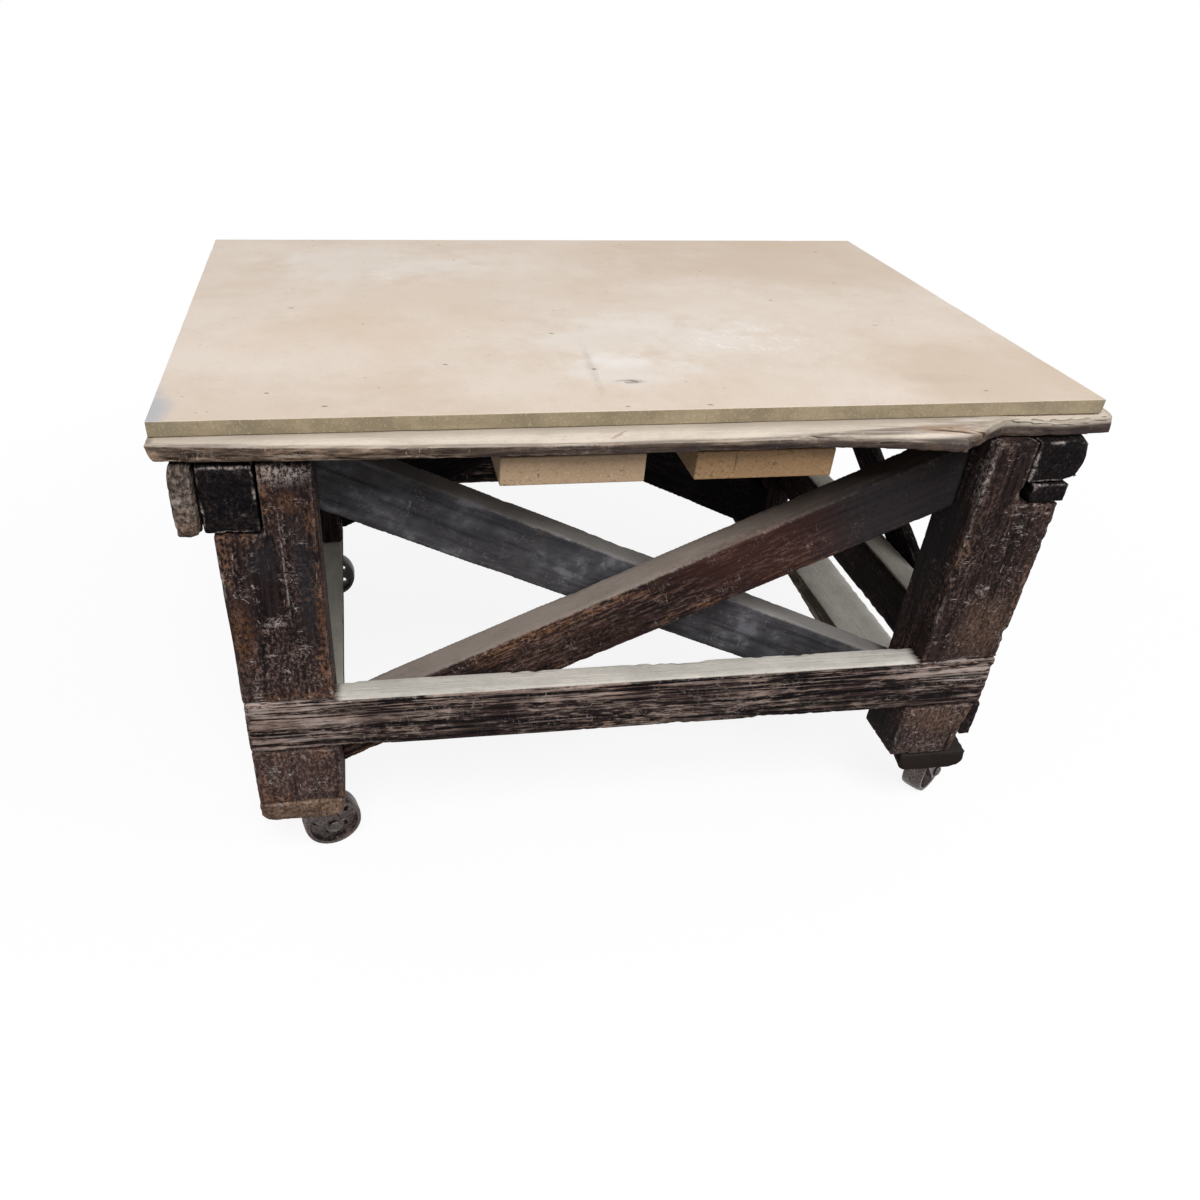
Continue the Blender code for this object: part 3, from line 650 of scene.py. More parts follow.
@dataclass(frozen=True)
class BraceOak(WornWood):
    """Front brace: sooty at its head and dimmed there by painted shade under the deck, a red flush in its
    middle and bare ochre wood towards its foot.
    """

    coal: Colour = (0.0260, 0.0245, 0.0265)
    red: Colour = (0.066, 0.025, 0.020)
    ochre: Colour = (0.190, 0.108, 0.064)
    head_x: Band = (0.20, 0.32)
    head_y: Band = (-0.380, -0.392)
    flushed: Patch = Patch((0.140, -0.396, 0.525), (0.190, 0.020, 0.100))
    bared: Patch = Patch((-0.130, -0.396, 0.390), (0.230, 0.020, 0.110))

    def details(self, grain: Grain) -> None:
        """Paint the soot, the flush and the bare wood.

        Args:
            grain: Timber's material.
        """
        speck = grain.speck
        head = grain.x.step(*self.head_x) * grain.y.step(*self.head_y)
        grain.paint(head * (0.45 + 0.40 * speck.step(0.60, 0.40)), self.coal)
        grain.paint(grain.near(self.flushed, speck) * 0.40, self.red)
        grain.paint(grain.near(self.bared, speck) * speck.step(0.50, 0.64) * 0.40, self.ochre)


@dataclass(frozen=True)
class SheetFace:
    """Face of the fibreboard sheet: tan, stained, darker at three corners with painted shade, scuffed white
    and marked by work.
    """

    name: str
    tan: Colour = (0.648, 0.548, 0.458)
    buff: Colour = (0.698, 0.616, 0.540)
    glue: Colour = (0.652, 0.520, 0.408)
    stain: Colour = (0.520, 0.395, 0.290)
    chalk: Colour = (0.790, 0.765, 0.740)
    soot: Colour = (0.105, 0.098, 0.098)
    bluing: Colour = (0.330, 0.385, 0.450)
    # Broad darker, pinker patches at three corners: painted shade of uneven light, with a stain tint
    stained: tuple[Patch, ...] = (Patch((0.470, 0.260, 0.74), (0.520, 0.450, 0.5)),
                                  Patch((0.560, -0.380, 0.74), (0.360, 0.280, 0.5)),
                                  Patch((-0.560, -0.400, 0.74), (0.460, 0.260, 0.5)))
    hazy: tuple[Patch, ...] = (Patch((0.010, -0.140, 0.74), (0.300, 0.160, 0.2)),
                               Patch((-0.020, -0.280, 0.74), (0.150, 0.090, 0.2)),
                               Patch((-0.350, 0.250, 0.74), (0.300, 0.180, 0.2)))
    scuffed: Patch = Patch((0.225, -0.190, 0.74), (0.150, 0.150, 0.2))
    blued: Patch = Patch((-0.628, -0.405, 0.74), (0.030, 0.110, 0.2))
    rubbed: Patch = Patch((-0.030, -0.320, 0.74), (0.034, 0.013, 0.2))
    dulled: Patch = Patch((0.390, -0.330, 0.74), (0.090, 0.034, 0.2))
    line: Patch = Patch((-0.054, -0.275, 0.74), (0.0090, 0.135, 0.2))
    line_turn: float = 0.06
    seam: Patch = Patch((-0.060, -0.142, 0.74), (0.52, 0.0024, 0.2))

    def material(self) -> bpy.types.Material:
        """Make the finish of the sheet's upper and lower faces.

        Returns:
            The material.
        """
        face = Surface(self.name, self.tan)
        cloud = face.noise(3.4, 6, 0.62)
        blotch = face.noise(13, 6, 0.68)
        grain = face.noise(260, 3, 0.6)
        wisp = face.noise((14, 40, 20), 6, 0.72, turn=(0, 0, 0.5))
        near = face.near(self.scuffed, blotch)
        scuffs = near * face.noise((26, 46, 20), 7, 0.80, turn=(0, 0, 1.0)).step(0.50, 0.62)
        bits = face.noise(150, 3, 0.7).step(0.60, 0.68) * near
        pale = face.nearby(self.hazy, blotch) * 0.40 + scuffs * 0.45 + bits * 0.70
        pale = pale + wisp.step(0.60, 0.74) * 0.22
        dark = self._marks(face, cloud, blotch, grain, wisp)
        face.paint(cloud.step(0.36, 0.64), self.buff)
        face.paint(face.noise(2.1, 5, 0.6).step(0.48, 0.66) * 0.55, self.glue)
        # Darker corners: painted shade, with a stain tint
        face.paint(face.nearby(self.stained, cloud).step(0.0, 1.2) * 0.42, self.stain)
        face.paint(blotch.step(0.46, 0.68) * 0.20, self.stain)
        face.paint(grain.step(0.42, 0.70) * 0.14, self.stain)
        face.paint(pale.step(0.0, 1.1), self.chalk)
        face.paint(face.near(self.blued, blotch) * 0.65, self.bluing)
        face.paint(dark, self.soot)
        rough = 0.50 + 0.20 * blotch + scuffs * 0.15
        height = grain * 0.4 + blotch * 0.3 - dark * 0.6
        return face.finish(rough, height, depth=0.0008, strength=0.45, specular=0.12)

    def _marks(self, face: Surface, cloud: Value, blotch: Value, grain: Value, wisp: Value) -> Value:
        """Return the dark marks of use.

        Args:
            face: Sheet's material.
            cloud: Broad noise.
            blotch: Noise of hand-sized spots.
            grain: Fine noise.
            wisp: Streaky noise.

        Returns:
            A mask from 0 to 1.
        """
        rub = face.near(self.rubbed, wisp) * wisp.step(0.44, 0.54) + face.near(self.dulled, blotch) * 0.22
        line = face.near(self.line, grain, face.turned((0, 0, self.line_turn))) * (0.12 + 0.30 * wisp)
        seam = face.near(self.seam, blotch) * 0.16
        specks = face.cells(face.turned((0, 0, 0.1), (1, 2.0, 1)), 7.0).step(0.042, 0.016)
        specks = specks * blotch.step(0.53, 0.56) * 0.70
        dots = face.cells(face.turned((0, 0, 0.7), (1, 1.6, 1), (3, 5, 1)), 16.0).step(0.055, 0.025)
        dots = dots * wisp.step(0.55, 0.59) * 0.45
        scratch = abs(face.noise((3, 34, 5), 2, turn=(0, 0, 0.5)) - 0.5).step(0.0040, 0.0005)
        scratch = scratch * cloud.step(0.50, 0.60) * 0.22
        return (rub * 0.75 + line + seam + specks + dots + scratch).step(0.0, 1.1)


@dataclass(frozen=True)
class SheetEdge:
    """Sawn edge of the sheet: olive fibre, dull and speckled."""

    name: str
    olive: Colour = (0.315, 0.255, 0.165)
    dull: Colour = (0.215, 0.175, 0.115)
    light: Colour = (0.430, 0.370, 0.275)

    def material(self) -> bpy.types.Material:
        """Make the finish of the sheet's four edges.

        Returns:
            The material.
        """
        edge = Surface(self.name, self.dull)
        layer = edge.noise((14, 14, 190), 4, 0.6)
        grit = edge.noise(330, 4, 0.75)
        edge.paint(edge.noise(12, 6, 0.66).step(0.36, 0.64), self.olive)
        edge.paint(layer.step(0.50, 0.70) * 0.45, self.dull)
        edge.paint(grit.step(0.54, 0.66) * 0.6, self.light)
        edge.paint(grit.step(0.44, 0.34) * 0.6, self.dull)
        height = layer * 0.3 + grit * 0.7
        return edge.finish(0.80 + 0.15 * grit, height, depth=0.0012, strength=0.6, specular=0.25)


@dataclass(frozen=True)
class FreshPine:
    """Newer sawn pine with faint growth rings about a line along the board.
    """

    name: str
    light: Colour
    late: Colour
    chaff: Colour
    dirt: Colour = (0.080, 0.056, 0.037)
    heart_z: float = 0.60
    ring: float = 0.0028
    check: float = -0.075
    front_y: float = -0.443
    check_z: float = 0.68

    def material(self, heart: float) -> bpy.types.Material:
        """Make the finish for one board.

        Args:
            heart: X of the line that the rings run about.

        Returns:
            The material.
        """
        pine = Surface(self.name, self.light)
        moved = pine.vector("SUBTRACT", pine.place, (heart, 0, self.heart_z))
        radius = pine.length(pine.vector("MULTIPLY", moved, (1, 0, 1))) + pine.noise((22, 1.2, 22)) * 0.016
        rings = pine.add("ShaderNodeMath", {"operation": "PINGPONG"}, {0: radius, 1: self.ring})
        fibre = pine.noise((230, 9, 230), 5, 0.72)
        cloud = pine.noise(17, 6, 0.66)
        grit = pine.noise(250, 4, 0.75)
        pores = pine.noise((150, 60, 190), 3, 0.7)
        stained = grit.step(0.42, 0.30) * cloud.step(0.44, 0.62) * 0.6 + cloud.step(0.60, 0.80) * 0.35
        check = Patch((heart + self.check, self.front_y, self.check_z), (0.0020, 0.02, 0.020))
        pine.paint((rings * 350).step(0.25, 0.95) * (0.10 + 0.24 * cloud), self.late)
        pine.paint(fibre.step(0.45, 0.70) * 0.45, self.late)
        pine.paint(pores.step(0.42, 0.34) * (0.25 + 0.6 * cloud.step(0.45, 0.62)), self.dirt)
        pine.paint(grit.step(0.53, 0.66) * cloud.step(0.40, 0.60, 0.3) * 0.7, self.chaff)
        pine.paint(stained.step(0.0, 1.0), self.dirt)
        pine.paint(pine.near(check, grit) * 0.8, self.dirt)
        height = fibre * 0.4 + grit * 0.4 + pores * 0.5
        return pine.finish(0.62 + 0.2 * fibre, height, depth=0.0014, strength=0.6, specular=0.3)


@dataclass(frozen=True)
class RustedIron:
    """Old dark iron with rust in its hollows and bright spots, rubbed metal with painted highlights."""

    name: str
    iron: Colour = (0.135, 0.112, 0.108)
    rust: Colour = (0.125, 0.080, 0.064)
    scale: Colour = (0.036, 0.028, 0.028)
    bright: Colour = (0.360, 0.330, 0.310)
    shine: float = 0.5

    def material(self) -> bpy.types.Material:
        """Make the finish.

        Returns:
            The material.
        """
        metal = Surface(self.name, self.scale)
        cloud = metal.noise(42, 6, 0.62)
        pits = metal.noise(320, 4, 0.6)
        rust = (cloud * 0.75 + pits * 0.30).step(0.52, 0.68)
        # Bright spots: rubbed metal, and painted highlights on the iron
        rubbed = metal.noise(95, 4, 0.6).step(0.60, 0.72) * (1.0 - rust)
        metal.paint(pits.step(0.35, 0.65), self.iron)
        metal.paint(rust, self.rust)
        metal.paint(rubbed * self.shine, self.bright)
        rough = 0.26 + rust * 0.50 + pits * 0.14
        height = pits * 0.6 + cloud * 0.4
        return metal.finish(rough, height, depth=0.0012, strength=0.6, metallic=0.88 - rust * 0.7)


@dataclass(frozen=True)
class Wear:
    """How far a timber has lost its sawn shape.

    The voxel is the mesh size. The rest are the reach and depth of the rounding at an edge, the depth of
    chips along it, of grooves along the grain and of the general unevenness, in metres.
    """

    voxel: float = 0.003
    reach: float = 0.008
    rounding: float = 0.0012
    chips: float = 0.0040
    grooves: float = 0.0008
    uneven: float = 0.0012


class WearGrade(Enum):
    """Wear of the cart's kinds of timber."""

    POST = Wear()
    TATTERED = Wear(reach=0.011, rounding=0.0014, chips=0.0070, grooves=0.0010, uneven=0.0014)
    COMBED = Wear(voxel=0.0024, reach=0.009, rounding=0.0010, chips=0.0045, grooves=0.0019, uneven=0.0010)
    BRACE = Wear(reach=0.006, rounding=0.0008, chips=0.0026, grooves=0.0005, uneven=0.0008)
    HIDDEN = Wear(voxel=0.0050, rounding=0.0008, chips=0.0030, grooves=0.0004, uneven=0.0008)
    PLANK = Wear(reach=0.006, rounding=0.0006, chips=0.0036, grooves=0.0012, uneven=0.0007)
    BLOCK = Wear(reach=0.008, rounding=0.0012, chips=0.0034, grooves=0.0006, uneven=0.0010)
    SOLE = Wear(reach=0.007, rounding=0.0008, chips=0.0028, grooves=0.0008, uneven=0.0010)


def add_object(name: str, data: bpy.types.ID) -> bpy.types.Object:
    """Add an object to the scene.

    Args:
        name: Name of the object.
        data: Mesh, lamp or camera that it shows.

    Returns:
        The object.
    """
    added = bpy.data.objects.new(name, data)
    bpy.context.scene.collection.objects.link(added)
    return added


def place_piece(mesh: bpy.types.Mesh, name: str, body: str, nodes: tuple[str, ...]) -> None:
    """Add a finished mesh to the cart.

    Args:
        mesh: Mesh in its place.
        name: Name of the piece.
        body: Body that it rides on.
        nodes: Solids that it stands for.
    """
    piece = add_object(name, mesh)
    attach(piece, body)
    if nodes:
        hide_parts(*nodes)
    LOG.info("piece %s: %d faces on %s", name, len(mesh.polygons), body)


def made_mesh(bm: bmesh.types.BMesh, name: str, *materials: bpy.types.Material) -> bpy.types.Mesh:
    """Turn a bmesh into a mesh.

    Args:
        bm: Shape, which is used up.
        name: Name of the mesh.
        materials: Its finishes.

    Returns:
        The mesh.
    """
    mesh = bpy.data.meshes.new(name)
    bm.to_mesh(mesh)
    bm.free()
    for material in materials:
        mesh.materials.append(material)
    return mesh


def merged_copy(node: bpy.types.Object) -> bmesh.types.BMesh:
    """Copy a solid's mesh with its loose triangles merged.

    Args:
        node: Solid of the frame.

    Returns:
        The copy.
    """
    bm = bmesh.new()
    bm.from_mesh(node.data)
    bmesh.ops.remove_doubles(bm, verts=bm.verts, dist=MERGE_GAP)
    return bm


def add_cone(bm: bmesh.types.BMesh, segments: int, lower: float, upper: float,
             depth: float) -> list[bmesh.types.BMVert]:
    """Add a capped cone about the origin.

    Args:
        bm: Mesh to add to.
        segments: Number of sides.
        lower: Radius below.
        upper: Radius above.
        depth: Height.

    Returns:
        The cone's vertices.
    """
    return bmesh.ops.create_cone(bm, cap_ends=True, segments=segments, radius1=lower, radius2=upper,
                                 depth=depth)["verts"]


def voxel_mesh(mesh: bpy.types.Mesh, voxel: float) -> bpy.types.Mesh:
    """Rebuild a mesh from voxels, so that it is fine enough to wear.

    Args:
        mesh: Mesh to rebuild.
        voxel: Size of a voxel.

    Returns:
        The fine mesh.
    """
    holder = add_object("holder", mesh)
    remesh = holder.modifiers.new("shape", "REMESH")
    remesh.mode = "VOXEL"
    remesh.voxel_size = voxel
    remesh.use_smooth_shade = True
    fine = bpy.data.meshes.new_from_object(holder.evaluated_get(bpy.context.evaluated_depsgraph_get()))
    bpy.data.objects.remove(holder)
    return fine


def edge_tree(bm: bmesh.types.BMesh) -> kdtree.KDTree:
    """Gather points along a solid's outer edges, so that wear can go by the distance to the nearest.

    Args:
        bm: Merged mesh of the solid.

    Returns:
        The tree of points.
    """
    points = []
    for edge in bm.edges:
        if len(edge.link_faces) == 2 and edge.is_convex and edge.calc_face_angle() > EDGE_ANGLE:
            start, stop = (vert.co for vert in edge.verts)
            steps = max(1, round(edge.calc_length() / EDGE_STEP))
            points.extend(start.lerp(stop, step / steps) for step in range(steps + 1))
    tree = kdtree.KDTree(len(points))
    for number, point in enumerate(points):
        tree.insert(point, number)
    tree.balance()
    return tree


@dataclass(frozen=True)
class Knock:
    """Place where a timber has lost a corner."""

    point: Vector
    reach: float
    depth: float

    def at(self, place: Vector) -> float:
        """Return the depth that is lost at a place."""
        return self.depth * math.exp(-((place - self.point).length / self.reach) ** 2)


@dataclass
class Timber:
    """One worn timber that stands for a solid of the frame."""

    node: str
    grain: Vector
    grade: WearGrade
    finish: WornWood
    number: int
    slot: str = "old_wood"
    knocks: tuple[Knock, ...] = ()

    def build(self, nodes: Nodes) -> None:
        """Make the worn mesh from the solid and dress it.

        Args:
            nodes: Solids of the frame.
        """
        bm = merged_copy(nodes[self.node])
        edges = edge_tree(bm)
        mesh = voxel_mesh(made_mesh(bm, self.node), self.grade.value.voxel)
        turn = self.grain.normalized().rotation_difference(Vector((1, 0, 0))).to_matrix()
        bm = bmesh.new()
        bm.from_mesh(mesh)
        self.erode(bm, turn, edges)
        bm.to_mesh(mesh)
        bm.free()
        mesh.name = f"worn_{self.node}"
        mesh.materials.clear()
        mesh.materials.append(self.finish.material(tuple(turn.to_euler("XYZ")), self.number))
        place_piece(mesh, f"worn_{self.node}", CART, (self.node,))

    def erode(self, bm: bmesh.types.BMesh, turn: Matrix, edges: kdtree.KDTree) -> None:
        """Wear the faces and edges back, and keep where: edge wear, dust, grooves and nearness of an edge.

        Args:
            bm: Mesh to wear.
            turn: Turn that brings the grain onto X.
            edges: Points along the sawn edges.
        """
        wear = self.grade.value
        layer = bm.verts.layers.float_color.new(WEAR_LAYER)
        seed = Vector(part * self.number for part in WEAR_SHIFT)
        bm.normal_update()
        moves = []
        for vert in bm.verts:
            place = turn @ vert.co
            gap = edges.find(vert.co)[2]
            edge = math.exp(-(gap / wear.reach) ** 2)
            along = noise.noise(place * CHIP_GRAIN + seed)
            bite = noise.noise(place * BITE_GRAIN - seed)
            chip = edge * (wear.rounding + max(0.0, along * 0.9 + bite * 0.7 - 0.05) * wear.chips)
            comb = noise.noise(place * COMB_GRAIN + seed) + 0.5 * noise.noise(place * FINE_COMB_GRAIN + seed)
            slow = (1 + noise.noise(place * UNEVEN_GRAIN + seed)) / 2
            lost = sum(knock.at(vert.co) for knock in self.knocks)
            up = min(1.0, max(0.0, (vert.normal.z - DUST_SLOPE) / DUST_RISE))
            groove = max(0.0, comb) * (1 - 0.85 * up)
            moves.append(chip + groove * wear.grooves + slow * wear.uneven + lost)
            rim = math.exp(-(gap / EDGE_GLOW) ** 2)
            vert[layer] = (edge * (0.6 + 0.4 * along), up, min(1.0, groove * 1.1), rim)
        for vert, move in zip(bm.verts, moves):
            vert.co -= vert.normal * move


@dataclass
class FrontBoard(Timber):
    """Front deck board, rounded by knocks at the lower corner of its left end."""

    radius: float = 0.034
    fade: float = 0.240

    def erode(self, bm: bmesh.types.BMesh, turn: Matrix, edges: kdtree.KDTree) -> None:
        """Wear the board, then round its corner, less and less towards the back.

        Args:
            bm: Mesh to wear.
            turn: Turn that brings the grain onto X.
            edges: Points along the sawn edges.
        """
        super().erode(bm, turn, edges)
        low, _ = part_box(self.node)
        for vert in bm.verts:
            radius = self.radius * max(0.0, 1.0 - (vert.co.y - low.y) / self.fade)
            inward = low.x + radius - vert.co.x
            upward = low.z + radius - vert.co.z
            far = math.hypot(inward, upward)
            if inward > 0 and upward > 0 and far > radius:
                vert.co.x += inward * (1 - radius / far)
                vert.co.z += upward * (1 - radius / far)


@dataclass
class TopSheet:
    """Loose fibreboard sheet on the deck."""

    arris: float = 0.0012
    knocks: float = 0.004
    knock_grain: float = 16.0
    knock_start: float = 0.25
    rim: float = 0.002
    long_edge: float = 0.5
    cuts: int = 40
    face: SheetFace = SheetFace("sheet_face")
    edge: SheetEdge = SheetEdge("sheet_edge")

    def build(self) -> None:
        """Make the sheet with eased, knocked edges and dress its faces and edges apart."""
        low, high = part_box("top_sheet")
        bm = bmesh.new()
        bmesh.ops.create_cube(bm, size=1.0)
        bmesh.ops.scale(bm, vec=high - low, verts=bm.verts)
        bmesh.ops.translate(bm, vec=(low + high) / 2, verts=bm.verts)
        bmesh.ops.bevel(bm, geom=bm.edges[:], offset=self.arris, offset_type="OFFSET", affect="EDGES",
                        segments=2, profile=0.5, material=-1)
        long_edges = [edge for edge in bm.edges if edge.calc_length() > self.long_edge]
        bmesh.ops.subdivide_edges(bm, edges=long_edges, cuts=self.cuts, use_grid_fill=True)
        for vert in bm.verts:
            knock = max(0.0, noise.noise(vert.co * self.knock_grain) - self.knock_start) * self.knocks
            for axis in range(2):
                if min(vert.co[axis] - low[axis], high[axis] - vert.co[axis]) < self.rim:
                    vert.co[axis] -= math.copysign(knock, vert.co[axis])
        bm.normal_update()
        for face in bm.faces:
            face.material_index = 0 if abs(face.normal.z) > 0.5 else 1
            face.smooth = False
        mesh = made_mesh(bm, "fibreboard_sheet", self.face.material(), self.edge.material())
        place_piece(mesh, "fibreboard_sheet", CART, ("top_sheet",))


@dataclass
class Deck:
    """Old deck boards and the newer battens under them."""

    boards: int = 5
    knocks: int = 9
    knock_step: float = 0.018
    knock_inset: float = 0.039
    knock_reach: float = 0.013
    knock_depth: float = 0.0055
    heart_offset: float = 0.035
    plank: DeckPlank = DeckPlank(
        "deck_plank", black=(0.022, 0.015, 0.013), brown=(0.125, 0.086, 0.062), rubbed=(0.235, 0.172, 0.128),
        pale=(0.500, 0.420, 0.340), dust=(0.740, 0.650, 0.550), warmth=0.45, dusting=1.0, ridges=0.52,
        bare=0.75, rough=0.70)
    pines: tuple[FreshPine, ...] = (
        FreshPine("pine_left", (0.375, 0.262, 0.166), (0.280, 0.182, 0.105), (0.490, 0.382, 0.277),
                  check=0.50),
        FreshPine("pine_right", (0.262, 0.157, 0.078), (0.189, 0.106, 0.049), (0.360, 0.245, 0.150)))

    def build(self, nodes: Nodes) -> None:
        """Make the boards and battens.

        Args:
            nodes: Solids of the frame.
        """
        low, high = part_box("deck_board_1")
        corners = (Vector((high.x - step * self.knock_step, low.y + self.knock_inset, high.z))
                   for step in range(self.knocks))
        knocks = tuple(Knock(corner, self.knock_reach, self.knock_depth) for corner in corners)
        along, slot = Vector((1, 0, 0)), "deck_wood"
        FrontBoard("deck_board_1", along, WearGrade.PLANK, self.plank, 1, slot, knocks).build(nodes)
        for number in range(2, self.boards + 1):
            Timber(f"deck_board_{number}", along, WearGrade.HIDDEN, self.plank, number, slot).build(nodes)
        for side, pine in zip(Side, self.pines):
            self._batten(nodes, f"batten_{side.value}", pine)

    def _batten(self, nodes: Nodes, node: str, pine: FreshPine) -> None:
        """Make one sound pine batten.

        Args:
            nodes: Solids of the frame.
            node: Name of its solid.
            pine: Its finish.
        """
        low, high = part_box(node)
        heart = (low.x + high.x) / 2 + self.heart_offset
        mesh = made_mesh(merged_copy(nodes[node]), f"pine_{node}", pine.material(heart))
        mesh.shade_flat()
        place_piece(mesh, f"pine_{node}", CART, (node,))


@dataclass
class PostFrame:
    """Posts, rails, stretchers and sole planks."""

    post: PostOak = PostOak(
        "post_oak", warmth=0.75, scratches=0.80, foot=1.0, soot=0.25, stretch=130, soft=0.18,
        soaked_and_shaded=(Patch((-0.462, -0.443, 0.520), (0.022, 0.06, 0.130)),
                Patch((-0.512, -0.443, 0.565), (0.030, 0.06, 0.040))),
        flushed=(Patch((-0.552, -0.443, 0.455), (0.026, 0.05, 0.080)),
                 Patch((-0.446, -0.443, 0.480), (0.012, 0.05, 0.090)),
                 Patch((-0.474, -0.443, 0.645), (0.022, 0.05, 0.022))),
        frayed=(Patch((-0.478, -0.443, 0.684), (0.055, 0.03, 0.026)),
                Patch((-0.487, -0.443, 0.550), (0.0022, 0.03, 0.110)),
                Patch((-0.508, -0.443, 0.470), (0.024, 0.03, 0.007))))
    dark_post: PostOak = PostOak(
        "dark_post_oak", brown=(0.034, 0.021, 0.019), warm=(0.180, 0.110, 0.074), flecks=0.65, warmth=0.65,
        scratches=0.70, foot=0.60, soot=0.30, stretch=130, soft=0.18,
        # These two darken the inner face of the right post: painted shade
        soaked_and_shaded=(Patch((0.440, -0.380, 0.185), (0.050, 0.14, 0.060)),
                Patch((0.438, -0.380, 0.520), (0.020, 0.07, 0.180))),
        flushed=(Patch((0.520, -0.443, 0.400), (0.060, 0.05, 0.080)),
                 Patch((0.510, -0.443, 0.215), (0.070, 0.05, 0.030))),
        # A pale line along the inner front edge: painted highlight
        frayed=(Patch((0.444, -0.443, 0.640), (0.007, 0.03, 0.070)),))
    back_post: WornWood = WornWood("back_post_oak", warmth=0.15, flecks=0.3, scratches=0.3)
    combed: WornWood = WornWood(
        "combed_oak", rubbed=(0.335, 0.246, 0.206), ridges=1.0, crest=0.328, warmth=0.40, dusting=1.0,
        span=0.443, butt=0.5685, dust=(0.600, 0.565, 0.510))
    black: WornWood = WornWood(
        "black_oak", black=(0.0028, 0.0026, 0.0032), brown=(0.0080, 0.0068, 0.0078), flecks=0.15, warmth=0.05,
        scratches=0.25, rim_wear_and_highlights=1.0)
    rail: WornWood = WornWood("rail_oak", flecks=0.4, warmth=0.2, dusting=1.0, dust=(0.640, 0.600, 0.530))
    grey: PostOak = PostOak(
        "grey_board", black=(0.024, 0.019, 0.017), brown=(0.088, 0.068, 0.056), rubbed=(0.230, 0.180, 0.148),
        warm=(0.260, 0.155, 0.095), ridges=0.5, warmth=0.6, rough=0.7,
        flushed=(Patch((-0.594, -0.455, 0.616), (0.040, 0.06, 0.024)),))
    sole: WornWood = WornWood(
        "sole_plank", black=(0.052, 0.033, 0.024), brown=(0.165, 0.105, 0.075), rubbed=(0.300, 0.208, 0.150),
        warm=(0.300, 0.190, 0.120), dusting=1.0, dust=(0.780, 0.752, 0.660), fore=-0.40, rough=0.7)
    bare: SolePlank = SolePlank(
        "bare_sole", black=(0.150, 0.120, 0.090), brown=(0.030, 0.021, 0.017), rubbed=(0.420, 0.360, 0.290),
        warm=(0.420, 0.330, 0.240), dusting=1.0, dust=(0.740, 0.700, 0.630), rough=0.7)
    upper_knock: Band = (0.022, 0.007)
    lower_knock: Band = (0.024, 0.008)
    lower_knock_rise: float = 0.030

    def build(self, nodes: Nodes) -> None:
        """Make the frame's timbers."""
        for timber in self._timbers():
            timber.build(nodes)

    def _timbers(self) -> list[Timber]:
        """List the worn timbers of the frame.

        Returns:
            The timbers, each with its grain, wear, finish, number and slot.
        """
        along, across, upright = Vector((1, 0, 0)), Vector((0, 1, 0)), Vector((0, 0, 1))
        post, block, hidden = WearGrade.POST, WearGrade.BLOCK, WearGrade.HIDDEN
        low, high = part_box("top_rail_right")
        broken = (Knock(Vector((high.x, low.y, high.z)), *self.upper_knock),
                  Knock(Vector((high.x, low.y, low.z + self.lower_knock_rise)), *self.lower_knock))
        return [
            Timber("leg_front_left", upright, post, self.post, 11),
            Timber("leg_front_right", upright, WearGrade.TATTERED, self.dark_post, 12),
            Timber("leg_back_left", upright, hidden, self.back_post, 13),
            Timber("leg_back_right", upright, hidden, self.back_post, 14),
            Timber("stretcher_front", along, WearGrade.COMBED, self.combed, 15),
            Timber("stretcher_back", along, hidden, self.combed, 16),
            Timber("top_rail_left", across, block, self.black, 17),
            Timber("top_rail_right", across, block, self.black, 18, knocks=broken),
            Timber("rail_packing_right", across, block, self.black, 19, "grey_wood"),
            Timber("side_board_left", across, WearGrade.TATTERED, self.grey, 20, "grey_wood"),
            Timber("side_rail_left", across, hidden, self.rail, 21),
            Timber("side_rail_right", across, hidden, self.rail, 22),
            Timber("runner_left", across, WearGrade.SOLE, self.sole, 23, "sole_wood"),
            Timber("runner_right", across, WearGrade.SOLE, self.bare, 24, "sole_wood"),
        ]


@dataclass
class Bracing:
    """Cross braces of the front and back and the diagonal board of the right side."""

    slope: float = 0.452
    side_slope: float = 0.440
    # soot=0.9 dims the brace's upper part: soot and painted shade under the deck
    oak: BraceOak = BraceOak(
        "brace_oak", brown=(0.036, 0.020, 0.0175), warmth=0.75, soft=0.20, dusting=1.0, soot=0.9,
        dust=(0.275, 0.232, 0.200))
    black: WornWood = WornWood(
        "black_brace", black=(0.0085, 0.0088, 0.0105), brown=(0.021, 0.0195, 0.0215),
        pale=(0.330, 0.325, 0.355), flecks=0.25, warmth=0.06, smudges=0.28, film=0.23, soft=0.22, dusting=1.0,
        soot=0.5, dust=(0.260, 0.245, 0.230))
    dark: WornWood = WornWood(
        "back_brace", black=(0.0022, 0.0020, 0.0022), brown=(0.0060, 0.0050, 0.0050), flecks=0.12,
        warmth=0.04, scratches=0.10, rim_wear_and_highlights=0.15)
    board: WornWood = WornWood("diagonal_board", brown=(0.018, 0.014, 0.013), flecks=0.3, warmth=0.12)

    def build(self, nodes: Nodes) -> None:
        """Make the five braces.

        Args:
            nodes: Solids of the frame.
        """
        rising, falling = Vector((1, 0, self.slope)), Vector((1, 0, -self.slope))
        front, hidden = WearGrade.BRACE, WearGrade.HIDDEN
        diagonal = Vector((0, 1, self.side_slope))
        for brace in (Timber("brace_front_rising", rising, front, self.oak, 31),
                      Timber("brace_front_falling", falling, front, self.black, 33),
                      Timber("brace_back_rising", rising, hidden, self.dark, 32),
                      Timber("brace_back_falling", falling, hidden, self.dark, 34),
                      Timber("side_brace_right", diagonal, WearGrade.PLANK, self.board, 35, "grey_wood")):
            brace.build(nodes)


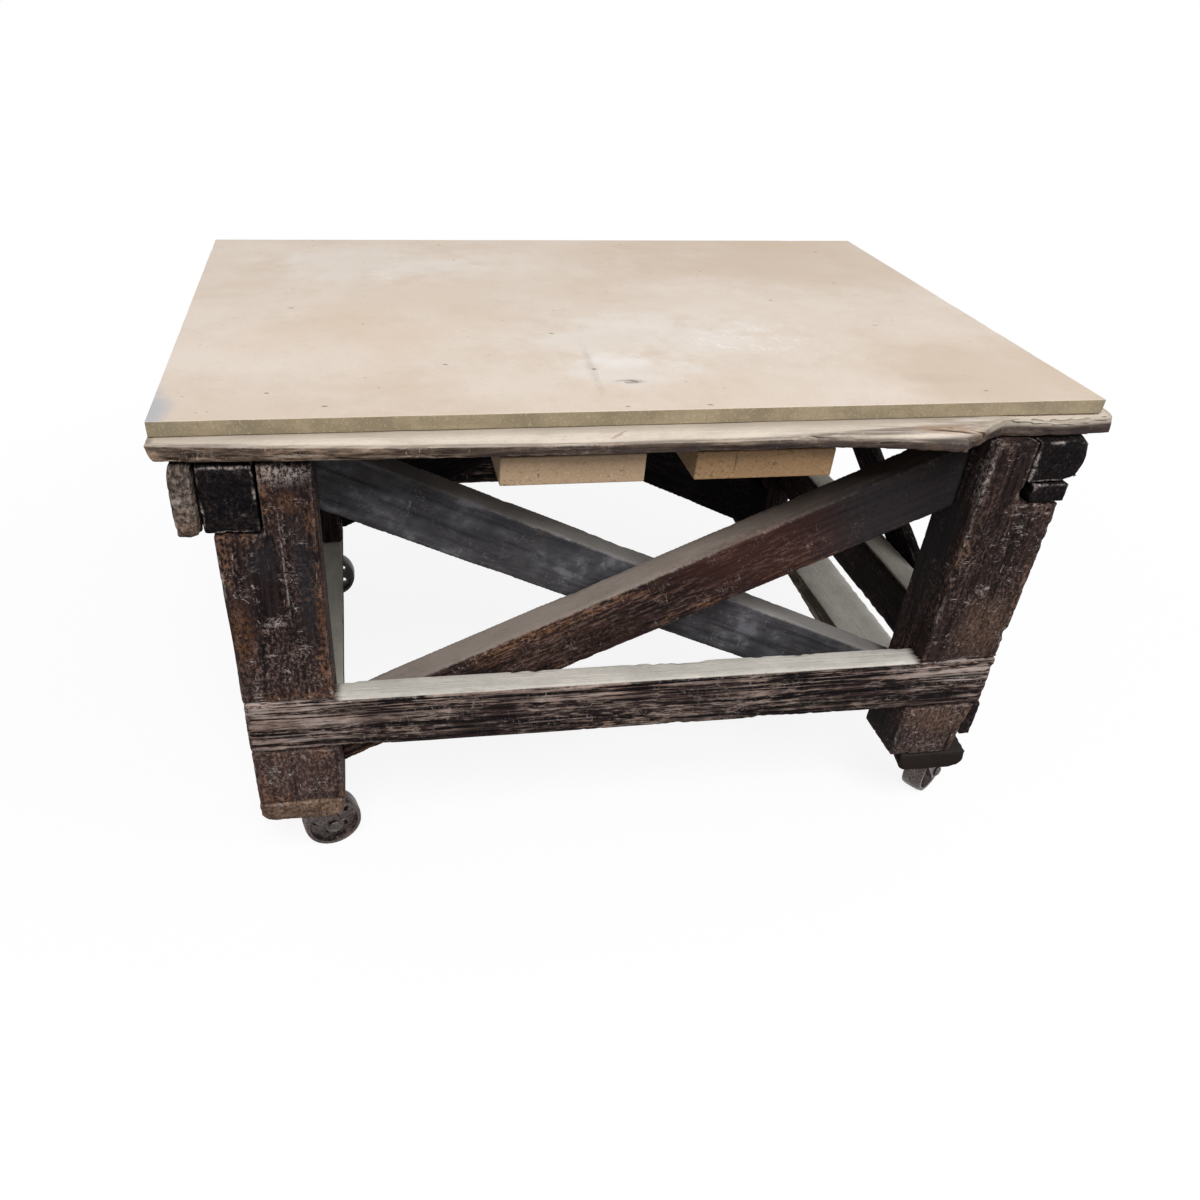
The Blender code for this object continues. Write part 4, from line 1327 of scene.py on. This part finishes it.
@dataclass
class Caster:
    """One swivel caster: its iron pieces with eased edges, and the screws that hold its plate."""

    end: End
    side: Side
    iron: bpy.types.Material
    steel: bpy.types.Material
    ease: float = 0.0007
    flat_angle: float = math.radians(1.5)
    sharp_angle: float = math.radians(38)
    shaded_angle: float = math.radians(30)
    screw_x: float = 0.026
    screw_y: float = 0.035
    screw_radius: float = 0.0062
    shank_radius: float = 0.00341
    screw_head: float = 0.0045
    screw_gap: float = 0.0002
    screw_taper: float = 0.9
    head_sides: int = 6
    shank_sides: int = 12

    @property
    def name(self) -> str:
        """Name of the caster's corner."""
        return f"{self.end.value}_{self.side.value}"

    def build(self, nodes: Nodes) -> None:
        """Make the caster's pieces.

        Args:
            nodes: Solids of the frame.
        """
        fork, wheel = f"{self.name}_fork", f"{self.name}_wheel"
        for part, body, slot in (("plate", CART, "iron"), ("race", CART, "iron"), ("kingpin", CART, "steel"),
                                 ("fork", fork, "iron"), ("axle", fork, "steel"), ("wheel", wheel, "iron")):
            self._eased(nodes, part, body, slot)
        self._screws()

    def _eased(self, nodes: Nodes, part: str, body: str, slot: str) -> None:
        """Ease the edges of one iron piece.

        Args:
            nodes: Solids of the frame.
            part: Name of the piece in the caster.
            body: Body that it rides on.
            slot: Slot of its finish, iron or steel.
        """
        node = f"caster_{self.name}_{part}"
        bm = merged_copy(nodes[node])
        bmesh.ops.dissolve_limit(bm, angle_limit=self.flat_angle, verts=bm.verts, edges=bm.edges)
        sharp = [edge for edge in bm.edges
                 if len(edge.link_faces) == 2 and edge.calc_face_angle() > self.sharp_angle]
        bmesh.ops.bevel(bm, geom=sharp, offset=self.ease, offset_type="OFFSET", affect="EDGES", segments=2,
                        profile=0.5, material=-1, clamp_overlap=True)
        mesh = made_mesh(bm, f"iron_{node}", self.iron if slot == "iron" else self.steel)
        mesh.shade_smooth()
        mesh.set_sharp_from_angle(angle=self.shaded_angle)
        place_piece(mesh, f"iron_{node}", body, (node,))

    def _screws(self) -> None:
        """Make the four six-sided screws under the plate, with their shanks in it."""
        low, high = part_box(f"caster_{self.name}_plate")
        centre = (low + high) / 2
        half = self.screw_head / 2
        bm = bmesh.new()
        for x in (-self.screw_x, self.screw_x):
            for y in (-self.screw_y, self.screw_y):
                seat = Vector((centre.x + x, centre.y + y, low.z))
                lower = self.screw_radius * self.screw_taper
                head = add_cone(bm, self.head_sides, lower, self.screw_radius, self.screw_head)
                bmesh.ops.translate(bm, vec=seat - Vector((0, 0, half + self.screw_gap)), verts=head)
                shank = add_cone(bm, self.shank_sides, self.shank_radius, self.shank_radius, self.screw_head)
                bmesh.ops.translate(bm, vec=seat + Vector((0, 0, half)), verts=shank)
        name = f"screws_{self.name}"
        place_piece(made_mesh(bm, name, self.steel), name, CART, ())


@dataclass
class Nails:
    """Iron nails that hold the side board and the diagonal board.

    Insets are from the ends of a board. Heights on the diagonal board are shares of its rise.
    """

    radius: float = 0.0042
    taper: float = 0.8
    sides: int = 14
    length: float = 0.012
    proud: float = 0.0006
    board_insets: Band = (0.05, 0.085)
    scatter: float = 0.03
    brace_insets: Band = (0.03, 0.055)
    foot_heights: Band = (0.08, 0.10)
    head_heights: Band = (0.90, 0.90)

    def build(self, steel: bpy.types.Material) -> None:
        """Make every nail as one piece.

        Args:
            steel: Finish.
        """
        bm = bmesh.new()
        for point, outward in self._places():
            nail = add_cone(bm, self.sides, self.radius * self.taper, self.radius, self.length)
            facing = Vector((0, 0, 1)).rotation_difference(outward).to_matrix()
            bmesh.ops.rotate(bm, cent=(0, 0, 0), matrix=facing, verts=nail)
            bmesh.ops.translate(bm, vec=point + outward * (self.proud - self.length / 2), verts=nail)
        place_piece(made_mesh(bm, "nails", steel), "nails", CART, ())

    def _places(self) -> list[tuple[Vector, Vector]]:
        """Find the nails' places.

        Returns:
            The point and the outward direction of each nail.
        """
        low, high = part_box("side_board_left")
        middle = (low.z + high.z - self.scatter) / 2
        ends = self._ends(low.y, high.y, self.board_insets)
        places = [(Vector((low.x, y, middle + y % self.scatter)), Vector((-1, 0, 0))) for y in ends]
        low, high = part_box("side_brace_right")
        ends = self._ends(low.y, high.y, self.brace_insets)
        for y, share in zip(ends, self.foot_heights + self.head_heights):
            places.append((Vector((high.x, y, low.z + (high.z - low.z) * share)), Vector((1, 0, 0))))
        return places

    @staticmethod
    def _ends(low: float, high: float, insets: Band) -> list[float]:
        """Return the places that lie the insets in from both ends."""
        return [low + inset for inset in insets] + [high - inset for inset in insets]


@dataclass(frozen=True)
class Lamp:
    """Square soft lamp that faces the cart, with its width in metres and its power in watts."""

    name: str
    place: Triple
    size: float
    power: float
    aim: Triple = (0.0, 0.0, 0.4)

    def hang(self) -> None:
        """Add the lamp to the scene."""
        data = bpy.data.lights.new(self.name, "AREA")
        data.size = self.size
        data.energy = self.power
        lamp = add_object(self.name, data)
        lamp.location = self.place
        lamp.rotation_euler = (Vector(self.aim) - Vector(self.place)).to_track_quat("-Z", "Y").to_euler()


@dataclass
class Studio:
    """Pale floor, soft light and the photograph's camera.

    The image, the focal length and the principal point are in pixels. View is the axis of the camera's
    turn, as long as its angle. The floor's glow rises from its least share to all between two distances.
    """

    image: float = 1200.0
    focal: float = 978.83
    principal: Band = (523.70, 676.73)
    sensor: float = 36.0
    eye: Triple = (-0.3717, -1.5372, 1.1997)
    view: Triple = (2.2162, -0.1460, 0.1238)
    floor_size: float = 14.0
    floor_seen: Colour = (0.90, 0.90, 0.90)
    floor_lit: Colour = (0.34, 0.33, 0.32)
    glow_reach: Band = (0.8, 2.2)
    glow_least: float = 0.89
    sky: float = 0.34
    lamps: tuple[Lamp, ...] = (Lamp("key", (-0.5, -4.5, 5.8), 3.0, 432.0),
                               Lamp("fill", (4.0, -2.6, 2.2), 2.5, 70.0))

    def build(self) -> None:
        """Set the scene about the cart."""
        bpy.context.scene.view_settings.view_transform = "Standard"
        self._camera()
        self._floor()
        self._sky()
        for lamp in self.lamps:
            lamp.hang()

    def _camera(self) -> None:
        """Place the camera as the photograph was taken."""
        data = bpy.data.cameras.new("photo_camera")
        data.sensor_fit = "HORIZONTAL"
        data.sensor_width = self.sensor
        data.lens = self.focal / self.image * self.sensor
        data.shift_x = (self.image / 2 - self.principal[0]) / self.image
        data.shift_y = (self.principal[1] - self.image / 2) / self.image
        camera = add_object("photo_camera", data)
        axis = Vector(self.view)
        to_view = Matrix.Rotation(axis.length, 3, axis.normalized())
        flip = Matrix(((1, 0, 0), (0, -1, 0), (0, 0, -1)))
        camera.matrix_world = Matrix.Translation(self.eye) @ (to_view.transposed() @ flip).to_4x4()
        bpy.context.scene.camera = camera

    def _floor(self) -> None:
        """Lay a pale floor that shows near white to the camera and keeps the shadow."""
        bm = bmesh.new()
        bmesh.ops.create_grid(bm, x_segments=1, y_segments=1, size=self.floor_size / 2)
        paper = Surface("floor_paper", self.floor_lit)
        seen = paper.seen()
        paper.paint(seen, self.floor_seen)
        paper.finish(0.9, paper.noise(60, 3), depth=0.0005, strength=0.1)
        share = seen * paper.length(paper.place).step(*self.glow_reach, self.glow_least)
        glow = paper.add("ShaderNodeEmission", {}, {"Color": (1, 1, 1, 1), "Strength": 1.0})
        shaded = Value(paper, paper.shader.outputs[0])
        mixed = paper.add("ShaderNodeMixShader", {}, {0: share, 1: shaded, 2: glow})
        paper.feed(paper.tree.nodes["Material Output"].inputs["Surface"], mixed)
        floor = add_object("floor", made_mesh(bm, "floor", paper.material))

    def _sky(self) -> None:
        """Light the scene evenly and show white behind it."""
        world = bpy.data.worlds.new("studio")
        bpy.context.scene.world = world
        world.use_nodes = True
        graph = Graph(world.node_tree)
        back = world.node_tree.nodes["Background"]
        graph.feed(back.inputs["Color"], (1.0, 1.0, 1.0, 1.0))
        graph.feed(back.inputs["Strength"], self.sky + graph.seen() * (1.0 - self.sky))


@dataclass
class CartScene:
    """The whole dressed cart."""

    sheet: TopSheet = field(default_factory=TopSheet)
    deck: Deck = field(default_factory=Deck)
    frame: PostFrame = field(default_factory=PostFrame)
    bracing: Bracing = field(default_factory=Bracing)
    nails: Nails = field(default_factory=Nails)
    studio: Studio = field(default_factory=Studio)
    front_iron: RustedIron = RustedIron("caster_iron")
    # Darker, duller copy of the caster iron for the back casters: painted shade under the cart
    shaded_back_iron: RustedIron = RustedIron("shaded_iron", (0.030, 0.026, 0.025), (0.050, 0.034, 0.027),
                                       (0.012, 0.010, 0.010), shine=0.2)
    bolts: RustedIron = RustedIron("bolt_steel", iron=(0.110, 0.098, 0.088), shine=0.8)

    def build(self, nodes: Nodes) -> None:
        """Make every piece in order.

        Args:
            nodes: Solids of the frame.
        """
        self.studio.build()
        self.sheet.build()
        self.deck.build(nodes)
        self.frame.build(nodes)
        self.bracing.build(nodes)
        irons = {End.FRONT: self.front_iron.material(), End.BACK: self.shaded_back_iron.material()}
        steel = self.bolts.material()
        for end in End:
            for side in Side:
                Caster(end, side, irons[end], steel).build(nodes)
        self.nails.build(steel)


def clear_start() -> None:
    """Remove what an empty file starts with."""
    for existing in list(bpy.data.objects):
        bpy.data.objects.remove(existing, do_unlink=True)


def main() -> None:
    """Load the frame and dress it."""
    logging.basicConfig(level=logging.INFO, format="%(message)s")
    clear_start()
    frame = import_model()
    CartScene().build(frame["nodes"])


if __name__ == "__main__":
    main()
